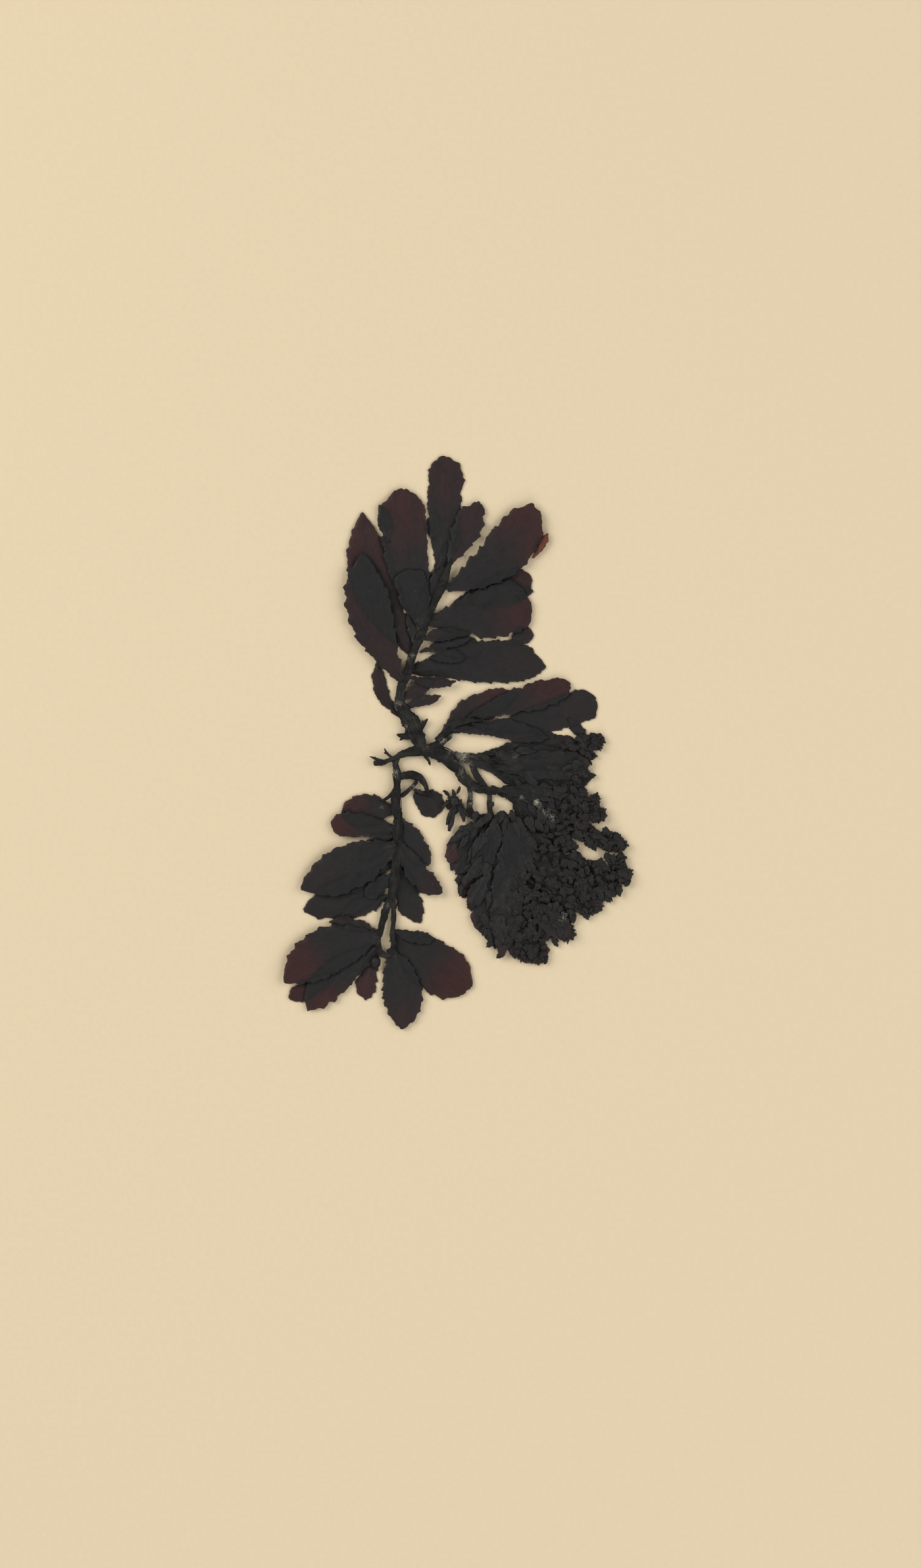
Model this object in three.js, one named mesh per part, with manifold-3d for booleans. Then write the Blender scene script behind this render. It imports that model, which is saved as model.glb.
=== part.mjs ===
// A dried, pressed sargassum plant lying flat. Millimetres, +Z up, +Y towards the top leaves.
// Every leafy shoot is one solid: a flattened stem with its toothed leaves, fused in code.
// Leaves lie in layers, one pitch apart, so that leaves that cover each other stay clear.
import * as THREE from 'three';
import { mergeVertices } from 'three/addons/utils/BufferGeometryUtils.js';
import Module from 'manifold-3d';

const wasm = await Module();
wasm.setup();

// Driving sizes
const BLADE_THICK = 0.6;
const RIB_RISE = 0.15;        // how far the midrib stands above the blade
const LAYER_PITCH = 1.05;
const STEM_HEIGHT = 2.5;
const AXIS_HEIGHT = 2.8;
const STEM_LIFT = 0.25;       // the underside of a shoot's stem above the surface
const STEM_FLAT = 0.36;       // half-width of a stem's flat top and bottom, as a part of its width
const BASE_SHARE = 0.14;      // width of a leaf at its base, as a part of its full width
const TIP_REACH = 0.98;       // how far the outline runs before the tip is cut off
const TOOTH_LEAN = 0.35;      // how far a tooth points forward, as a part of the row spacing
const RIPPLE = 0.55;          // highest rise of the plant's gentle waves
const RIPPLE_X = 10.5;
const RIPPLE_Y = 13;
const KNOB_WIDTH = 1.3;
const KNOB_HEIGHT = 1.3;
const CLUSTER_LIFT = 0.2;
const CLUSTER_HEIGHT = 2.3;
const KNOBS_PER_MM = 2.35;    // knobs round a cluster, for each mm of its radius
const NOTCH_SHARE = 0.74;     // how deep the gaps between a cluster's knobs are

// The wave that all layers share. Half of the plan lies flat on the surface.
function rise(x, y) {
  return RIPPLE * Math.max(0, Math.sin(x / RIPPLE_X + 1.1) * Math.sin(y / RIPPLE_Y + 0.6));
}

// A fixed series of numbers from 0 to 1, so that each build is the same
function seeded(seed) {
  let state = seed;
  return () => {
    state = (state * 16807) % 2147483647;
    return state / 2147483647;
  };
}

// A closed solid from rings of points, with a fan over each end. Seen along the way from
// the first ring to the last, each ring runs anticlockwise.
function skin(rings) {
  const points = rings.flat();
  const sides = rings[0].length;
  const faces = [];
  for (let row = 0; row + 1 < rings.length; row += 1) {
    for (let side = 0; side < sides; side += 1) {
      const here = row * sides + side;
      const beside = row * sides + (side + 1) % sides;
      faces.push(here, beside + sides, beside, here, here + sides, beside + sides);
    }
  }
  const last = (rings.length - 1) * sides;
  for (let side = 1; side + 1 < sides; side += 1) {
    faces.push(0, side, side + 1, last, last + side + 1, last + side);
  }
  return toSolid(points, faces);
}

function toSolid(points, faces) {
  const solid = new wasm.Manifold(new wasm.Mesh({
    numProp: 3,
    vertProperties: new Float32Array(points.flat()),
    triVerts: new Uint32Array(faces),
  }));
  if (solid.volume() <= 0) throw new Error('a piece faces inwards');
  return solid;
}

// Half-width of a leaf along its length, 0 to 1, as a part of its full half-width
function spread(along, widest, blunt) {
  if (along < widest) {
    return BASE_SHARE + (1 - BASE_SHARE) * Math.sin(Math.PI / 2 * along / widest);
  }
  const past = TIP_REACH * (along - widest) / (1 - widest);
  return 1 - past ** blunt;
}

// A point on the leaf's bent midrib, with the direction to its left
function ribAt(leaf, along) {
  const [x0, y0] = leaf.base;
  const [x1, y1] = leaf.tip;
  const length = Math.hypot(x1 - x0, y1 - y0);
  const ahead = [(x1 - x0) / length, (y1 - y0) / length];
  const side = [-ahead[1], ahead[0]];
  const bow = 4 * leaf.bend * along * (1 - along);
  const slope = 4 * leaf.bend * (1 - 2 * along) / length;
  const turn = Math.hypot(1, slope);
  return {
    x: x0 + ahead[0] * along * length + side[0] * bow,
    y: y0 + ahead[1] * along * length + side[1] * bow,
    leftX: (side[0] - slope * ahead[0]) / turn,
    leftY: (side[1] - slope * ahead[1]) / turn,
  };
}

// A thin toothed blade: rows across the leaf, each with two edges and a raised midrib
function blade(leaf) {
  const rows = 2 * leaf.teeth + 1;
  const floor = leaf.layer * LAYER_PITCH;
  const edge = (along, share, halfWidth, isTooth) => {
    const reach = Math.min(1, along + (isTooth ? TOOTH_LEAN / rows : 0));
    const rib = ribAt(leaf, reach);
    const toothed = leaf.tooth * (isTooth ? 0.5 : -0.5) * Math.min(1, 2 * share);
    const out = Math.max(0.25, share * Math.abs(halfWidth) + toothed) * Math.sign(halfWidth);
    const x = rib.x + rib.leftX * out;
    const y = rib.y + rib.leftY * out;
    return [x, y, floor + rise(x, y)];
  };
  const rings = [];
  for (let row = 0; row <= rows; row += 1) {
    const along = row / rows;
    const share = spread(along, leaf.widest, leaf.blunt);
    const rib = ribAt(leaf, along);
    const left = edge(along, share, leaf.left, row % 2 === 1);
    const right = edge(along, share, -leaf.right, row % 2 === 0);
    const middle = [rib.x, rib.y, floor + rise(rib.x, rib.y)];
    const up = ([x, y, z], by) => [x, y, z + by];
    rings.push([
      left,
      middle,
      right,
      up(right, BLADE_THICK),
      up(middle, BLADE_THICK + RIB_RISE),
      up(left, BLADE_THICK),
    ]);
  }
  return skin(rings);
}

// A flattened stem through points of [x, y, width], with six sides. wave is 0 for a flat one.
function stem(path, lift = STEM_LIFT, height = STEM_HEIGHT, wave = 1) {
  const rings = path.map(([x, y, width], i) => {
    const [xa, ya] = path[Math.max(0, i - 1)];
    const [xb, yb] = path[Math.min(path.length - 1, i + 1)];
    const length = Math.hypot(xb - xa, yb - ya);
    const across = [-(yb - ya) / length, (xb - xa) / length];
    const floor = lift + wave * rise(x, y);
    const at = (out, up) => [x + across[0] * out * width, y + across[1] * out * width, floor + up];
    return [
      at(0.5, height / 2),
      at(STEM_FLAT, 0),
      at(-STEM_FLAT, 0),
      at(-0.5, height / 2),
      at(-STEM_FLAT, height),
      at(STEM_FLAT, height),
    ];
  });
  return skin(rings);
}

// One receptacle: a small knobbed spindle with four sides
function receptacle(x, y, z, angle, length, width = KNOB_WIDTH) {
  const ahead = [Math.cos(angle), Math.sin(angle)];
  const ring = (along, size) => {
    const cx = x + ahead[0] * along * length;
    const cy = y + ahead[1] * along * length;
    const half = width * size / 2;
    const tall = KNOB_HEIGHT * size / 2;
    return [
      [cx - ahead[1] * half, cy + ahead[0] * half, z],
      [cx, cy, z - tall],
      [cx + ahead[1] * half, cy - ahead[0] * half, z],
      [cx, cy, z + tall],
    ];
  };
  return skin([ring(0, 0.6), ring(0.6, 1), ring(1, 0.4)]);
}

// A cluster of receptacles: a low dome whose rings of knobs stand in each other's gaps
function cluster([x, y, radius], seed) {
  const random = seeded(seed);
  const knobs = Math.round(KNOBS_PER_MM * radius);
  const reach = Array.from({ length: 2 * knobs }, (_, i) => {
    return i % 2 === 0 ? 0.92 + 0.2 * random() : NOTCH_SHARE;
  });
  const levels = [
    { size: 0.84, up: 0, shift: 0 },
    { size: 1, up: 0.4, shift: 0 },
    { size: 0.72, up: 0.8, shift: 1 },
    { size: 0.36, up: 1, shift: 1 },
  ];
  return [skin(levels.map(({ size, up, shift }) => reach.map((_, i) => {
    const angle = -Math.PI * i / knobs;
    const out = radius * size * reach[(i + shift) % reach.length];
    const z = CLUSTER_LIFT + rise(x, y) + up * CLUSTER_HEIGHT;
    return [x + out * Math.cos(angle), y + out * Math.sin(angle), z];
  })))];
}

// A small air bladder: an egg shape on its side
function bladder(x, y, z, angle, length, width) {
  const sides = 8;
  const ring = (along, size) => Array.from({ length: sides }, (_, i) => {
    const turn = 2 * Math.PI * i / sides;
    const out = width * size / 2 * Math.cos(turn);
    const up = width * size / 2 * Math.sin(turn);
    return [
      x + Math.cos(angle) * along * length - Math.sin(angle) * out,
      y + Math.sin(angle) * along * length + Math.cos(angle) * out,
      z - up,
    ];
  });
  return skin([ring(-0.5, 0.3), ring(-0.3, 0.8), ring(0, 1), ring(0.3, 0.8), ring(0.5, 0.3)]);
}

// A leaf from its base and tip. bend bows the midrib to the left, left and right are half-widths.
function leaf(base, tip, bend, left, right, widest, blunt, teeth, tooth, layer) {
  return blade({ base, tip, bend, left, right, widest, blunt, teeth, tooth, layer });
}

// The stout cut main axis, flat underneath, with the strand that loops beside it
function mainAxis() {
  return [
    stem([
      [-24.3, -5.9, 2.4], [-22.6, -5.7, 2.6], [-20.8, -5.4, 1.7], [-18.4, -4.6, 1.9],
      [-15.2, -3.1, 2.7], [-11.5, -2.3, 4.1], [-7.2, -2.4, 4.9], [-3.2, -4.1, 4.6],
      [0.3, -7.2, 3.4], [2.9, -10.6, 2.7], [5.7, -12.9, 2.3], [9.6, -13.9, 1.9], [12.6, -13.9, 1.9],
    ], 0, AXIS_HEIGHT, 0),
    stem([[-1.2, -3.2, 2.6], [3.4, -5.4, 2.4], [5, -8.6, 2.3], [6.8, -11.2, 2.3], [8.6, -13.4, 1.6]], 0.2, 2, 0),
  ];
}

// The upper shoot: its stem and the broad leaves above it
function upperShoot() {
  return [
    stem([
      [-12.3, 1.1, 4], [-12.8, 3.4, 5.6], [-13.6, 6.4, 6.4], [-15.8, 9.4, 4.4], [-16.8, 12.4, 3.1],
      [-15.8, 17, 3.3], [-14.4, 20.6, 3.4], [-13, 25.4, 3], [-10.9, 30.2, 2.8], [-9, 35, 2.6],
      [-7, 40, 2.6], [-4.8, 45, 3.4], [-3, 50, 3.8], [-2.2, 56, 3], [0.6, 60, 2.2], [2.8, 63, 1.4],
    ]),
    leaf([-4.4, 46], [-3.4, 82.8], 0.3, 5.1, 5.4, 0.74, 6, 7, 0.9, 0),
    leaf([-9.8, 33.5], [-15.4, 73.6], 1.4, 7.4, 6.2, 0.64, 5, 8, 0.9, 1),
    leaf([-10.2, 32.8], [-14.6, 50.2], 0, 4.6, 4.8, 0.7, 6, 4, 0.6, 2),
    leaf([-12.4, 25.2], [-27.4, 66.4], 4.4, 5.8, 7.4, 0.55, 2.6, 8, 1, 0),
    leaf([-16.2, 17.8], [-27.4, 54.6], 3, 5.8, 6.6, 0.6, 2.6, 8, 1.2, 2),
    leaf([-3.2, 44.6], [21.8, 69.2], -3.2, 5.6, 8, 0.62, 3.4, 8, 1, 2),
    leaf([-8.8, 35], [21.4, 39.8], -1, 9, 6.8, 0.74, 5, 8, 1, 1),
    leaf([-10.6, 30], [3.6, 31.4], 0.4, 2, 1.8, 0.4, 2, 2, 0.5, 2),
    leaf([-14.4, 20.8], [25.4, 21.9], 0.6, 8.9, 4.8, 0.66, 3.4, 8, 0.9, 0),
    leaf([-2.4, 51.5], [6.2, 69.6], 0, 4.2, 4.4, 0.6, 3, 5, 1.1, 1),
    leaf([-7.9, 38], [-6.4, 52], 0, 1.8, 1.8, 0.5, 2, 3, 0.5, 0),
    leaf([-16.6, 7.4], [-23.2, 23.6], 2.4, 1.9, 2.1, 0.6, 2.4, 4, 0.6, 0),
    leaf([-16.2, 9.6], [-4.6, 13.6], 0.4, 1.6, 1.8, 0.6, 2, 2, 0.5, 1),
    leaf([-16, 12.4], [-6.6, 18.4], 0, 2.6, 2.2, 0.5, 2, 3, 0.5, 1),
    leaf([-14.8, 19.4], [-0.6, 17.8], -0.4, 1.2, 2.4, 0.6, 3, 3, 0.5, 2),
  ];
}

// The lower shoot: its long stem, the leaves on both sides and the leaf in the gap beside it
function lowerShoot() {
  return [
    stem([
      [-17.9, -6.9, 2.4], [-17.3, -9.6, 2.8], [-17.6, -13, 2.8], [-17.9, -16.4, 3.4], [-17.4, -21, 3.4],
      [-17.1, -27, 3.4], [-17.5, -33, 3.4], [-18.2, -39, 3.2], [-19.2, -44, 2.6], [-20.6, -48, 2.6],
      [-21.8, -52, 2.6], [-22.4, -54.6, 2],
    ]),
    leaf([-17.6, -19.4], [-33.6, -20.4], -0.4, 4.6, 4.8, 0.55, 3.4, 5, 1, 0),
    leaf([-17.4, -24.4], [-36.8, -23.4], 0.2, 3.4, 4, 0.7, 4, 5, 0.7, 1),
    leaf([-17.6, -29.2], [-45.4, -42], 0.6, 6.2, 6.9, 0.48, 3, 7, 0.8, 2),
    leaf([-18.4, -39], [-44.8, -48.6], 0.8, 5.2, 6.2, 0.5, 2.6, 6, 0.8, 0),
    leaf([-16.8, -21], [-8, -35.2], 0.2, 2.3, 4.6, 0.6, 3.4, 6, 0.9, 1),
    leaf([-17, -28], [-4.6, -43.2], -0.6, 2.3, 4.6, 0.66, 3.2, 6, 0.9, 2),
    leaf([-17.6, -33], [-10.8, -52.4], -0.4, 3.4, 4.2, 0.6, 2.6, 6, 0.7, 0),
    stem([[-17, -10, 2.6], [-14.4, -9.6, 2.4], [-12, -10.2, 2.2], [-11, -12.4, 1.8], [-9.4, -14.6, 1.6]],
      0.3, 1.9),
    stem([[-16.8, -15.2, 2.2], [-14.2, -14.6, 1.8], [-11, -14.2, 1.8], [-8.6, -14.8, 1.6]], 0.25, 1.6),
    leaf([-12.6, -14.6], [-4, -19.2], 0, 3.4, 4.2, 0.5, 5, 3, 0.6, 0),
  ];
}

// The bottom leaves, at the foot of the lower shoot, with the small air bladder on its stalk
function bottomLeaves() {
  return [
    stem([[-22.8, -55.2, 1.9], [-23, -58, 2.1], [-22.4, -60.4, 2.2], [-20.8, -61.8, 1.8]]),
    stem([[-18.9, -53.8, 1.6], [-18.7, -56.4, 1.9], [-18.6, -59, 2], [-19.6, -61.2, 2.2], [-21.4, -61.8, 1.6]],
      0.3, 2.3),
    leaf([-22.4, -56], [-50, -69.4], -1.8, 5.6, 8, 0.5, 2.8, 8, 1, 2),
    leaf([-22.2, -58.6], [-43.2, -77.2], -1, 4.2, 6, 0.6, 3.2, 7, 1, 1),
    leaf([-23.4, -60], [-26.6, -74.4], -0.4, 2.6, 3.2, 0.7, 3, 4, 0.7, 0),
    leaf([-19.8, -59.4], [-16.2, -82.8], 2, 5.8, 6, 0.56, 2.8, 8, 1, 1),
    leaf([-18.6, -54.8], [4, -70.8], -0.8, 7.2, 7, 0.56, 3.6, 7, 0.8, 0),
    stem([[-22.2, -60, 1], [-23, -61.6, 0.8], [-23.4, -62.8, 0.8]], 0.5, 1),
    bladder(-23.6, -63.5, 1.5, 1.35, 3.6, 2.4),
  ];
}

// The leafy branch at the right: wine-coloured and dark leaves
function leafyBranch() {
  return [
    stem([[-6.4, 0.8, 1.6], [-4, 2.6, 2.2], [-1.2, 5, 2.4], [2.6, 6.4, 2.2], [7, 6.2, 1.8], [12, 5.4, 1.6]]),
    leaf([-4.8, 2.2], [17.4, 14.2], 1.4, 4.6, 4, 0.5, 2.6, 6, 0.7, 0),
    leaf([3, 7.4], [32, 16], 0.4, 3.2, 4.2, 0.7, 4, 7, 0.6, 1),
    leaf([8, 4.6], [40, 12.4], -1.8, 4.7, 4.6, 0.8, 5, 6, 0.7, 0),
    leaf([4, 5.8], [26.4, 1.4], 0, 3, 3, 0.5, 2.4, 5, 0.6, 1),
  ];
}

// The upper part of the fertile branch
function fertileUpper() {
  const clusters = [
    [36.4, 0.2, 2.8], [40.2, 0.4, 2.5], [37.6, -3.8, 2.2], [33.4, -11, 3], [36.2, -18.6, 2.8],
    [40.6, -20.6, 2.7], [39.6, -16.6, 1.9], [35.8, -24.6, 2.6], [38.2, -27.4, 2.8], [41, -27.8, 2.4], [44.4, -28.8, 3],
    [47, -29.4, 2.1],
  ];
  return [
    stem([[5.6, -3.2, 1.8], [8, -4.6, 2.6], [11, -6.2, 2.6], [16, -8, 2.6], [22, -9.4, 2.2], [28, -12, 2], [33, -17, 1.6]]),
    stem([[33, -17, 1.4], [36, -21, 1.4], [38.6, -24.6, 1.4], [42, -28, 1.4], [46, -29.6, 1]], 0.4, 2.1),
    stem([[8, -6, 2], [11.4, -8.6, 2.6], [14.4, -11, 2.8], [18, -12.4, 2.4], [24, -14, 1.6]], 0.3, 2.3),
    leaf([7, -3.6], [36.8, -1.4], 0.4, 4.2, 5.4, 0.6, 3.4, 6, 0.7, 0),
    leaf([10, -6.6], [38.2, -6], 0, 4, 4.6, 0.6, 3.4, 6, 0.7, 2),
    leaf([12.6, -9], [37, -13.4], 0, 4.2, 4.6, 0.55, 3, 6, 0.8, 1),
    leaf([15.6, -11], [33.6, -20.4], 0.4, 4, 3.6, 0.55, 3, 5, 0.8, 0),
    leaf([31, -15.6], [42.6, -21.4], 0, 2.8, 2.8, 0.5, 3, 3, 0.7, 1),
    leaf([34, -20], [48.4, -31], -1.6, 1.6, 2.6, 0.6, 3, 4, 0.7, 0),
    ...clusters.flatMap((place, i) => cluster(place, 101 + 7 * i)),
  ];
}

// The lower part of the fertile branch: narrow leaves, and clusters towards the lower right
function fertileLower() {
  const clusters = [
    [46, -34.9, 2.6], [47.9, -38.2, 3.2], [45, -42, 2.9], [41.2, -38, 3], [36.4, -38, 2.8],
    [34, -33.2, 2.3], [39.6, -46.8, 3.1], [34.6, -45.6, 3], [31.3, -54.7, 3.1], [28, -50.4, 3],
    [23.2, -61.4, 3], [18, -60, 2.9], [22.8, -56, 3], [28.6, -41.6, 3], [22, -44.6, 3],
    [16, -50.6, 3],
  ];
  return [
    stem([[14.3, -14.9, 2], [17, -16.9, 3.6], [18.2, -20.5, 4.8], [18, -25, 4], [18, -30, 2.6],
      [18.4, -37, 2.2], [19.6, -45, 1.8], [21, -53, 1.4], [22, -58, 1.2]]),
    stem([[3.7, -15, 1.5], [3.4, -18.4, 1.9], [5, -21.4, 3], [9.6, -22, 3.2], [13, -22.4, 3], [17.6, -22.4, 2.6]],
      0.3, 2.3),
    stem([[9.4, -15.6, 1.7], [9.2, -18, 1.9], [9.8, -22, 2.2]], 0.4, 2.1),
    stem([[18, -27, 1.4], [25, -31.6, 1.6], [32, -37, 1.6], [39, -40, 1.4], [46, -39, 1.2]], 0.4, 2.1),
    stem([[18.6, -38, 1.4], [25, -42.6, 1.4], [33, -47, 1.3], [38, -47, 1]], 0.4, 2.1),
    stem([[20, -46, 1.2], [25.6, -51, 1.2], [31, -54, 1]], 0.4, 2.1),
    leaf([6.4, -22], [-3, -34.4], -0.4, 4, 2.6, 0.62, 3, 5, 0.8, 1),
    leaf([8.6, -23], [1.4, -45], 0.4, 4.6, 4.2, 0.6, 3, 7, 1, 0),
    leaf([11.2, -23], [9.4, -58], -0.8, 5.2, 4.6, 0.6, 2.4, 8, 1, 1),
    leaf([15.4, -23], [12.8, -62], 0, 5.4, 4.6, 0.55, 2.4, 8, 1, 2),
    leaf([18, -28], [22, -54], 1.2, 5, 4.6, 0.55, 2.6, 6, 1, 0),
    leaf([18.2, -24.6], [30.4, -44], 1.4, 5, 4.8, 0.55, 2.6, 6, 1, 1),
    leaf([18.8, -22], [32.8, -31.4], 0.4, 4.8, 4, 0.55, 2.6, 5, 0.9, 0),
    leaf([24.6, -31.6], [48, -39.8], 0, 2.6, 4.8, 0.6, 3.4, 5, 0.8, 0),
    leaf([24, -42], [42, -47.6], 0, 4.2, 3.8, 0.6, 3.4, 4, 0.8, 1),
    leaf([20, -46.4], [32.4, -55.6], 0.4, 3.6, 3.8, 0.6, 3.4, 4, 0.8, 2),
    leaf([20.6, -50.4], [24.4, -63.4], 0, 3.2, 6, 0.7, 3.4, 4, 0.8, 1),
    ...clusters.flatMap((place, i) => cluster(place, 501 + 7 * i)),
  ];
}

// The small cluster in the gap beside the main axis
function gapCluster() {
  return [
    ...cluster([-0.9, -17.6, 2.6], 47),
    receptacle(-0.6, -17.8, 1.2, -1.8, 8, 1.7),
    receptacle(0, -18, 1.3, -1.2, 5.2, 1.6),
    receptacle(-0.9, -16.6, 1.2, 1.75, 3.2, 1.1),
  ];
}

// All pieces of a node fused into one solid, with its own colour
function node(name, pieces, colour) {
  const fused = pieces.reduce((whole, piece) => whole.add(piece)).simplify(0.008);
  // A pocket closed in between pieces is a body turned inside out, and leaving it out fills it.
  const bodies = fused.decompose().filter((body) => body.volume() > 0);
  if (bodies.length !== 1) {
    const places = bodies.map((body) => body.boundingBox()).map(({ min, max }) => {
      return `${min.map(Math.round)} to ${max.map(Math.round)}`;
    });
    throw new Error(`${name} is in ${bodies.length} bodies: ${places.join('; ')}`);
  }
  const [solid] = bodies;
  const { vertProperties, triVerts } = solid.getMesh();
  const geometry = new THREE.BufferGeometry();
  geometry.setAttribute('position', new THREE.BufferAttribute(new Float32Array(vertProperties), 3));
  geometry.setIndex(new THREE.BufferAttribute(new Uint32Array(triVerts), 1));
  const merged = mergeVertices(geometry, 1e-4);
  merged.computeVertexNormals();
  const material = new THREE.MeshStandardMaterial({ color: colour, roughness: 0.6, metalness: 0 });
  const mesh = new THREE.Mesh(merged, material);
  mesh.name = name;
  return mesh;
}

const LEAF_COLOUR = 0x2f2d2e;
const WINE_COLOUR = 0x3c2d2a;
const STEM_COLOUR = 0x2a2524;

const sargassum = new THREE.Group();
sargassum.add(node('main_axis', mainAxis(), STEM_COLOUR));
sargassum.add(node('upper_shoot', upperShoot(), LEAF_COLOUR));
sargassum.add(node('lower_shoot', lowerShoot(), LEAF_COLOUR));
sargassum.add(node('bottom_leaves', bottomLeaves(), WINE_COLOUR));
sargassum.add(node('leafy_branch', leafyBranch(), WINE_COLOUR));
sargassum.add(node('fertile_branch_upper', fertileUpper(), LEAF_COLOUR));
sargassum.add(node('fertile_branch_lower', fertileLower(), LEAF_COLOUR));
sargassum.add(node('gap_cluster', gapCluster(), LEAF_COLOUR));

export default sargassum;
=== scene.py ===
"""A dried, pressed sargassum plant, lying flat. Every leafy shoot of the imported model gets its
leaves, stems and receptacles here. Lengths in the tables are millimetres, in the frame's plan."""
import math
from collections import namedtuple

import bpy
import numpy as np
from bpy.props import FloatProperty, FloatVectorProperty, PointerProperty
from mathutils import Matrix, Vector


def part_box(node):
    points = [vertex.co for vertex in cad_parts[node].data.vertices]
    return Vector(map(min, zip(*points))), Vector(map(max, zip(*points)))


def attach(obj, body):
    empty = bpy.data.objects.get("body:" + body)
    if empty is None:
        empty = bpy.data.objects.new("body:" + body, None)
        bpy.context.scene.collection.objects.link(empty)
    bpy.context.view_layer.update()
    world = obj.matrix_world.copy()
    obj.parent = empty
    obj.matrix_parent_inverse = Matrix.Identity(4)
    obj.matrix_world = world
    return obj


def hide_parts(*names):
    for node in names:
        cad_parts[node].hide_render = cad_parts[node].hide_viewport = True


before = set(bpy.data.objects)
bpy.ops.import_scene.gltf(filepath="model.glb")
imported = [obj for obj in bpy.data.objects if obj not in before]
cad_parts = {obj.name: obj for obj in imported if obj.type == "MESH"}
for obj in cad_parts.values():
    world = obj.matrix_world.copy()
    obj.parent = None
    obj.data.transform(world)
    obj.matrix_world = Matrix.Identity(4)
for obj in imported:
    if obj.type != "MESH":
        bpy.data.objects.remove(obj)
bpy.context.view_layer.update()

bl_info = {
    "name": "Dried sargassum",
    "version": (1, 0, 0),
    "blender": (4, 5, 0),
    "location": "3D View > Sidebar > Sargassum",
    "description": "Builds a dried, pressed sargassum plant with toothed leaves and receptacles",
    "category": "Add Mesh",
}

MM = 0.001
BODY = "root"

# The gentle waves that all layers of leaves share, in mm and radians
WAVE_X, WAVE_START_X = 10.5, 1.1
WAVE_Y, WAVE_START_Y = 13.0, 0.6

# Whole numbers that mix a patch's place and its seed into a random value
MIX_X, MIX_Y, MIX_SEED, MIX_AGAIN = 374761393, 668265263, 974711, 1274126177
LOW_31_BITS, LOW_30_BITS = 0x7FFFFFFF, 0x3FFFFFFF

# What the sum of a grain's patches is divided by, to bring it near -1 to 1
GRAIN_REACH = 1.6

# Outline of a leaf: half-width at its base, and how blunt its tip is
BASE_SHARE = 0.14
TIP_REACH = 0.98

# Teeth: how far they lean forward, the short front's part of their length, the size of the
# least one, the curve of their back, and their level and gain about the margin
TOOTH_LEAN = 0.35
TOOTH_FRONT = 0.14
TOOTH_LEAST = 0.2
TOOTH_CURVE = 1.6
TOOTH_LEVEL = 0.55
TOOTH_GAIN = 1.35

# Margin of a leaf, in mm: fine teeth, torn places, wider bends, and its taper and rusty rim
FINE_TOOTH, FINE_TEETH_PER_MM = 0.3, 1.25
TEAR, TEAR_SPAN = 0.3, 1.6
BEND_DEPTH, BEND_SPAN = 0.75, 5
TIP_TEAR = 0.7
LEAST_HALF_WIDTH = 0.25
MARGIN_TAPER = 0.9
MARGIN_WIDTH = 0.22
# Width in mm of the painted shade: a dark line on a leaf near the edges of other leaves
EDGE_SHADE_WIDTH = 0.32

# Lines of points from a leaf's midrib to its margin, and its least number of rows
LEAF_LANES = (0.12, 0.26, 0.4, 0.54, 0.67, 0.79, 0.89, 0.96, 1)
LEAST_ROWS = 20

# Most wine colour, its part that stays under another leaf, and roughness of fertile leaves
WINE_MOST = 1.6
COVERED_WINE = 0.04
FERTILE_ROUGHNESS = 3.2

# Stems: points round them, length of a closed end in mm, how boxy they are, number of flutes,
# depth of knots and of torn sides as a part of the radius, and how far in mm fertile ones sink
STEM_SIDES = 32
STEM_END = 0.7
STEM_SQUARENESS = 0.85
FLUTES = 11
KNOT = 0.28
STEM_TEAR = 0.19
FERTILE_SINK = 0.6

# Strands on a stem: points round one, least points along one, and their step and radius in mm
STRAND_SIDES, LEAST_STRAND_POINTS = 6, 6
STRAND_STEP, STRAND_RADIUS = 0.7, 0.13

# Spurs on a stem: step from point to point in mm, points from one spur to the next, and the
# length in mm that each has beside its part of the stem's width
SPUR_STEP, SPUR_EVERY, SPUR_LENGTH = 1.0, 3, 0.45

# Receptacles: points round and along one, and depth of its warts as a part of its radius
SPINDLE_SIDES, SPINDLE_RINGS = 9, 9
WART = 0.3

# The mound under the receptacles of a cluster: points round and along it, its height and its
# wall's in mm, the width of its foot as a part of its own, and its lift over the floor in mm
MOUND_SIDES, MOUND_RINGS = 56, 12
MOUND_HEIGHT, MOUND_WALL, MOUND_FOOT = 1.75, 0.25, 0.9
CLUSTER_LIFT = 0.2

# Flakes, in mm: rings from the rim inwards, how far a tip may stand out of its node, how far
# inside the node a flake starts, and how high it lies at the node's edge and farther in
FLAKE_SIDES = 40
FLAKE_RINGS = (0.95, 1, 0.88, 0.68, 0.42, 0.12)
FLAKE_OVERHANG = 0.35
FLAKE_INSET = 0.3
FLAKE_LOW, FLAKE_CLIMB, CLIMB_SPAN = 0.8, 1.4, 2.5

# Lengths of flakes in mm, and the part that they lose where the branch is crinkled
FLAKE_LENGTH, LENGTH_RANGE, SHORTEST_FLAKE = 4.6, 4, 1.8
CRINKLED_LOSS = 0.54

# Share of the places that carry a flake where the branch is flat, and what crinkles add to it
FLAT_SHARE, CRINKLED_SHARE = 0.16, 0.74

# The slanted line through this point in mm has the crinkled side of the branch at its right
FRILL_X, FRILL_Y, FRILL_SLANT = 33.5, -8, 0.361

# The air bladder, in mm and radians
BLADDER_SIDES, BLADDER_RINGS = 24, 15
BLADDER_PLACE, BLADDER_ANGLE = (-23.7, -63.4, 1.5), 1.4
BLADDER_LENGTH, BLADDER_WIDTH = 3.7, 3

# Lowest height over the floor of leaves and stems, of flakes and of receptacles, in mm
LEAF_GAP, FLAKE_GAP, SPINDLE_GAP = 0.02, 0.03, 0.05

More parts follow.
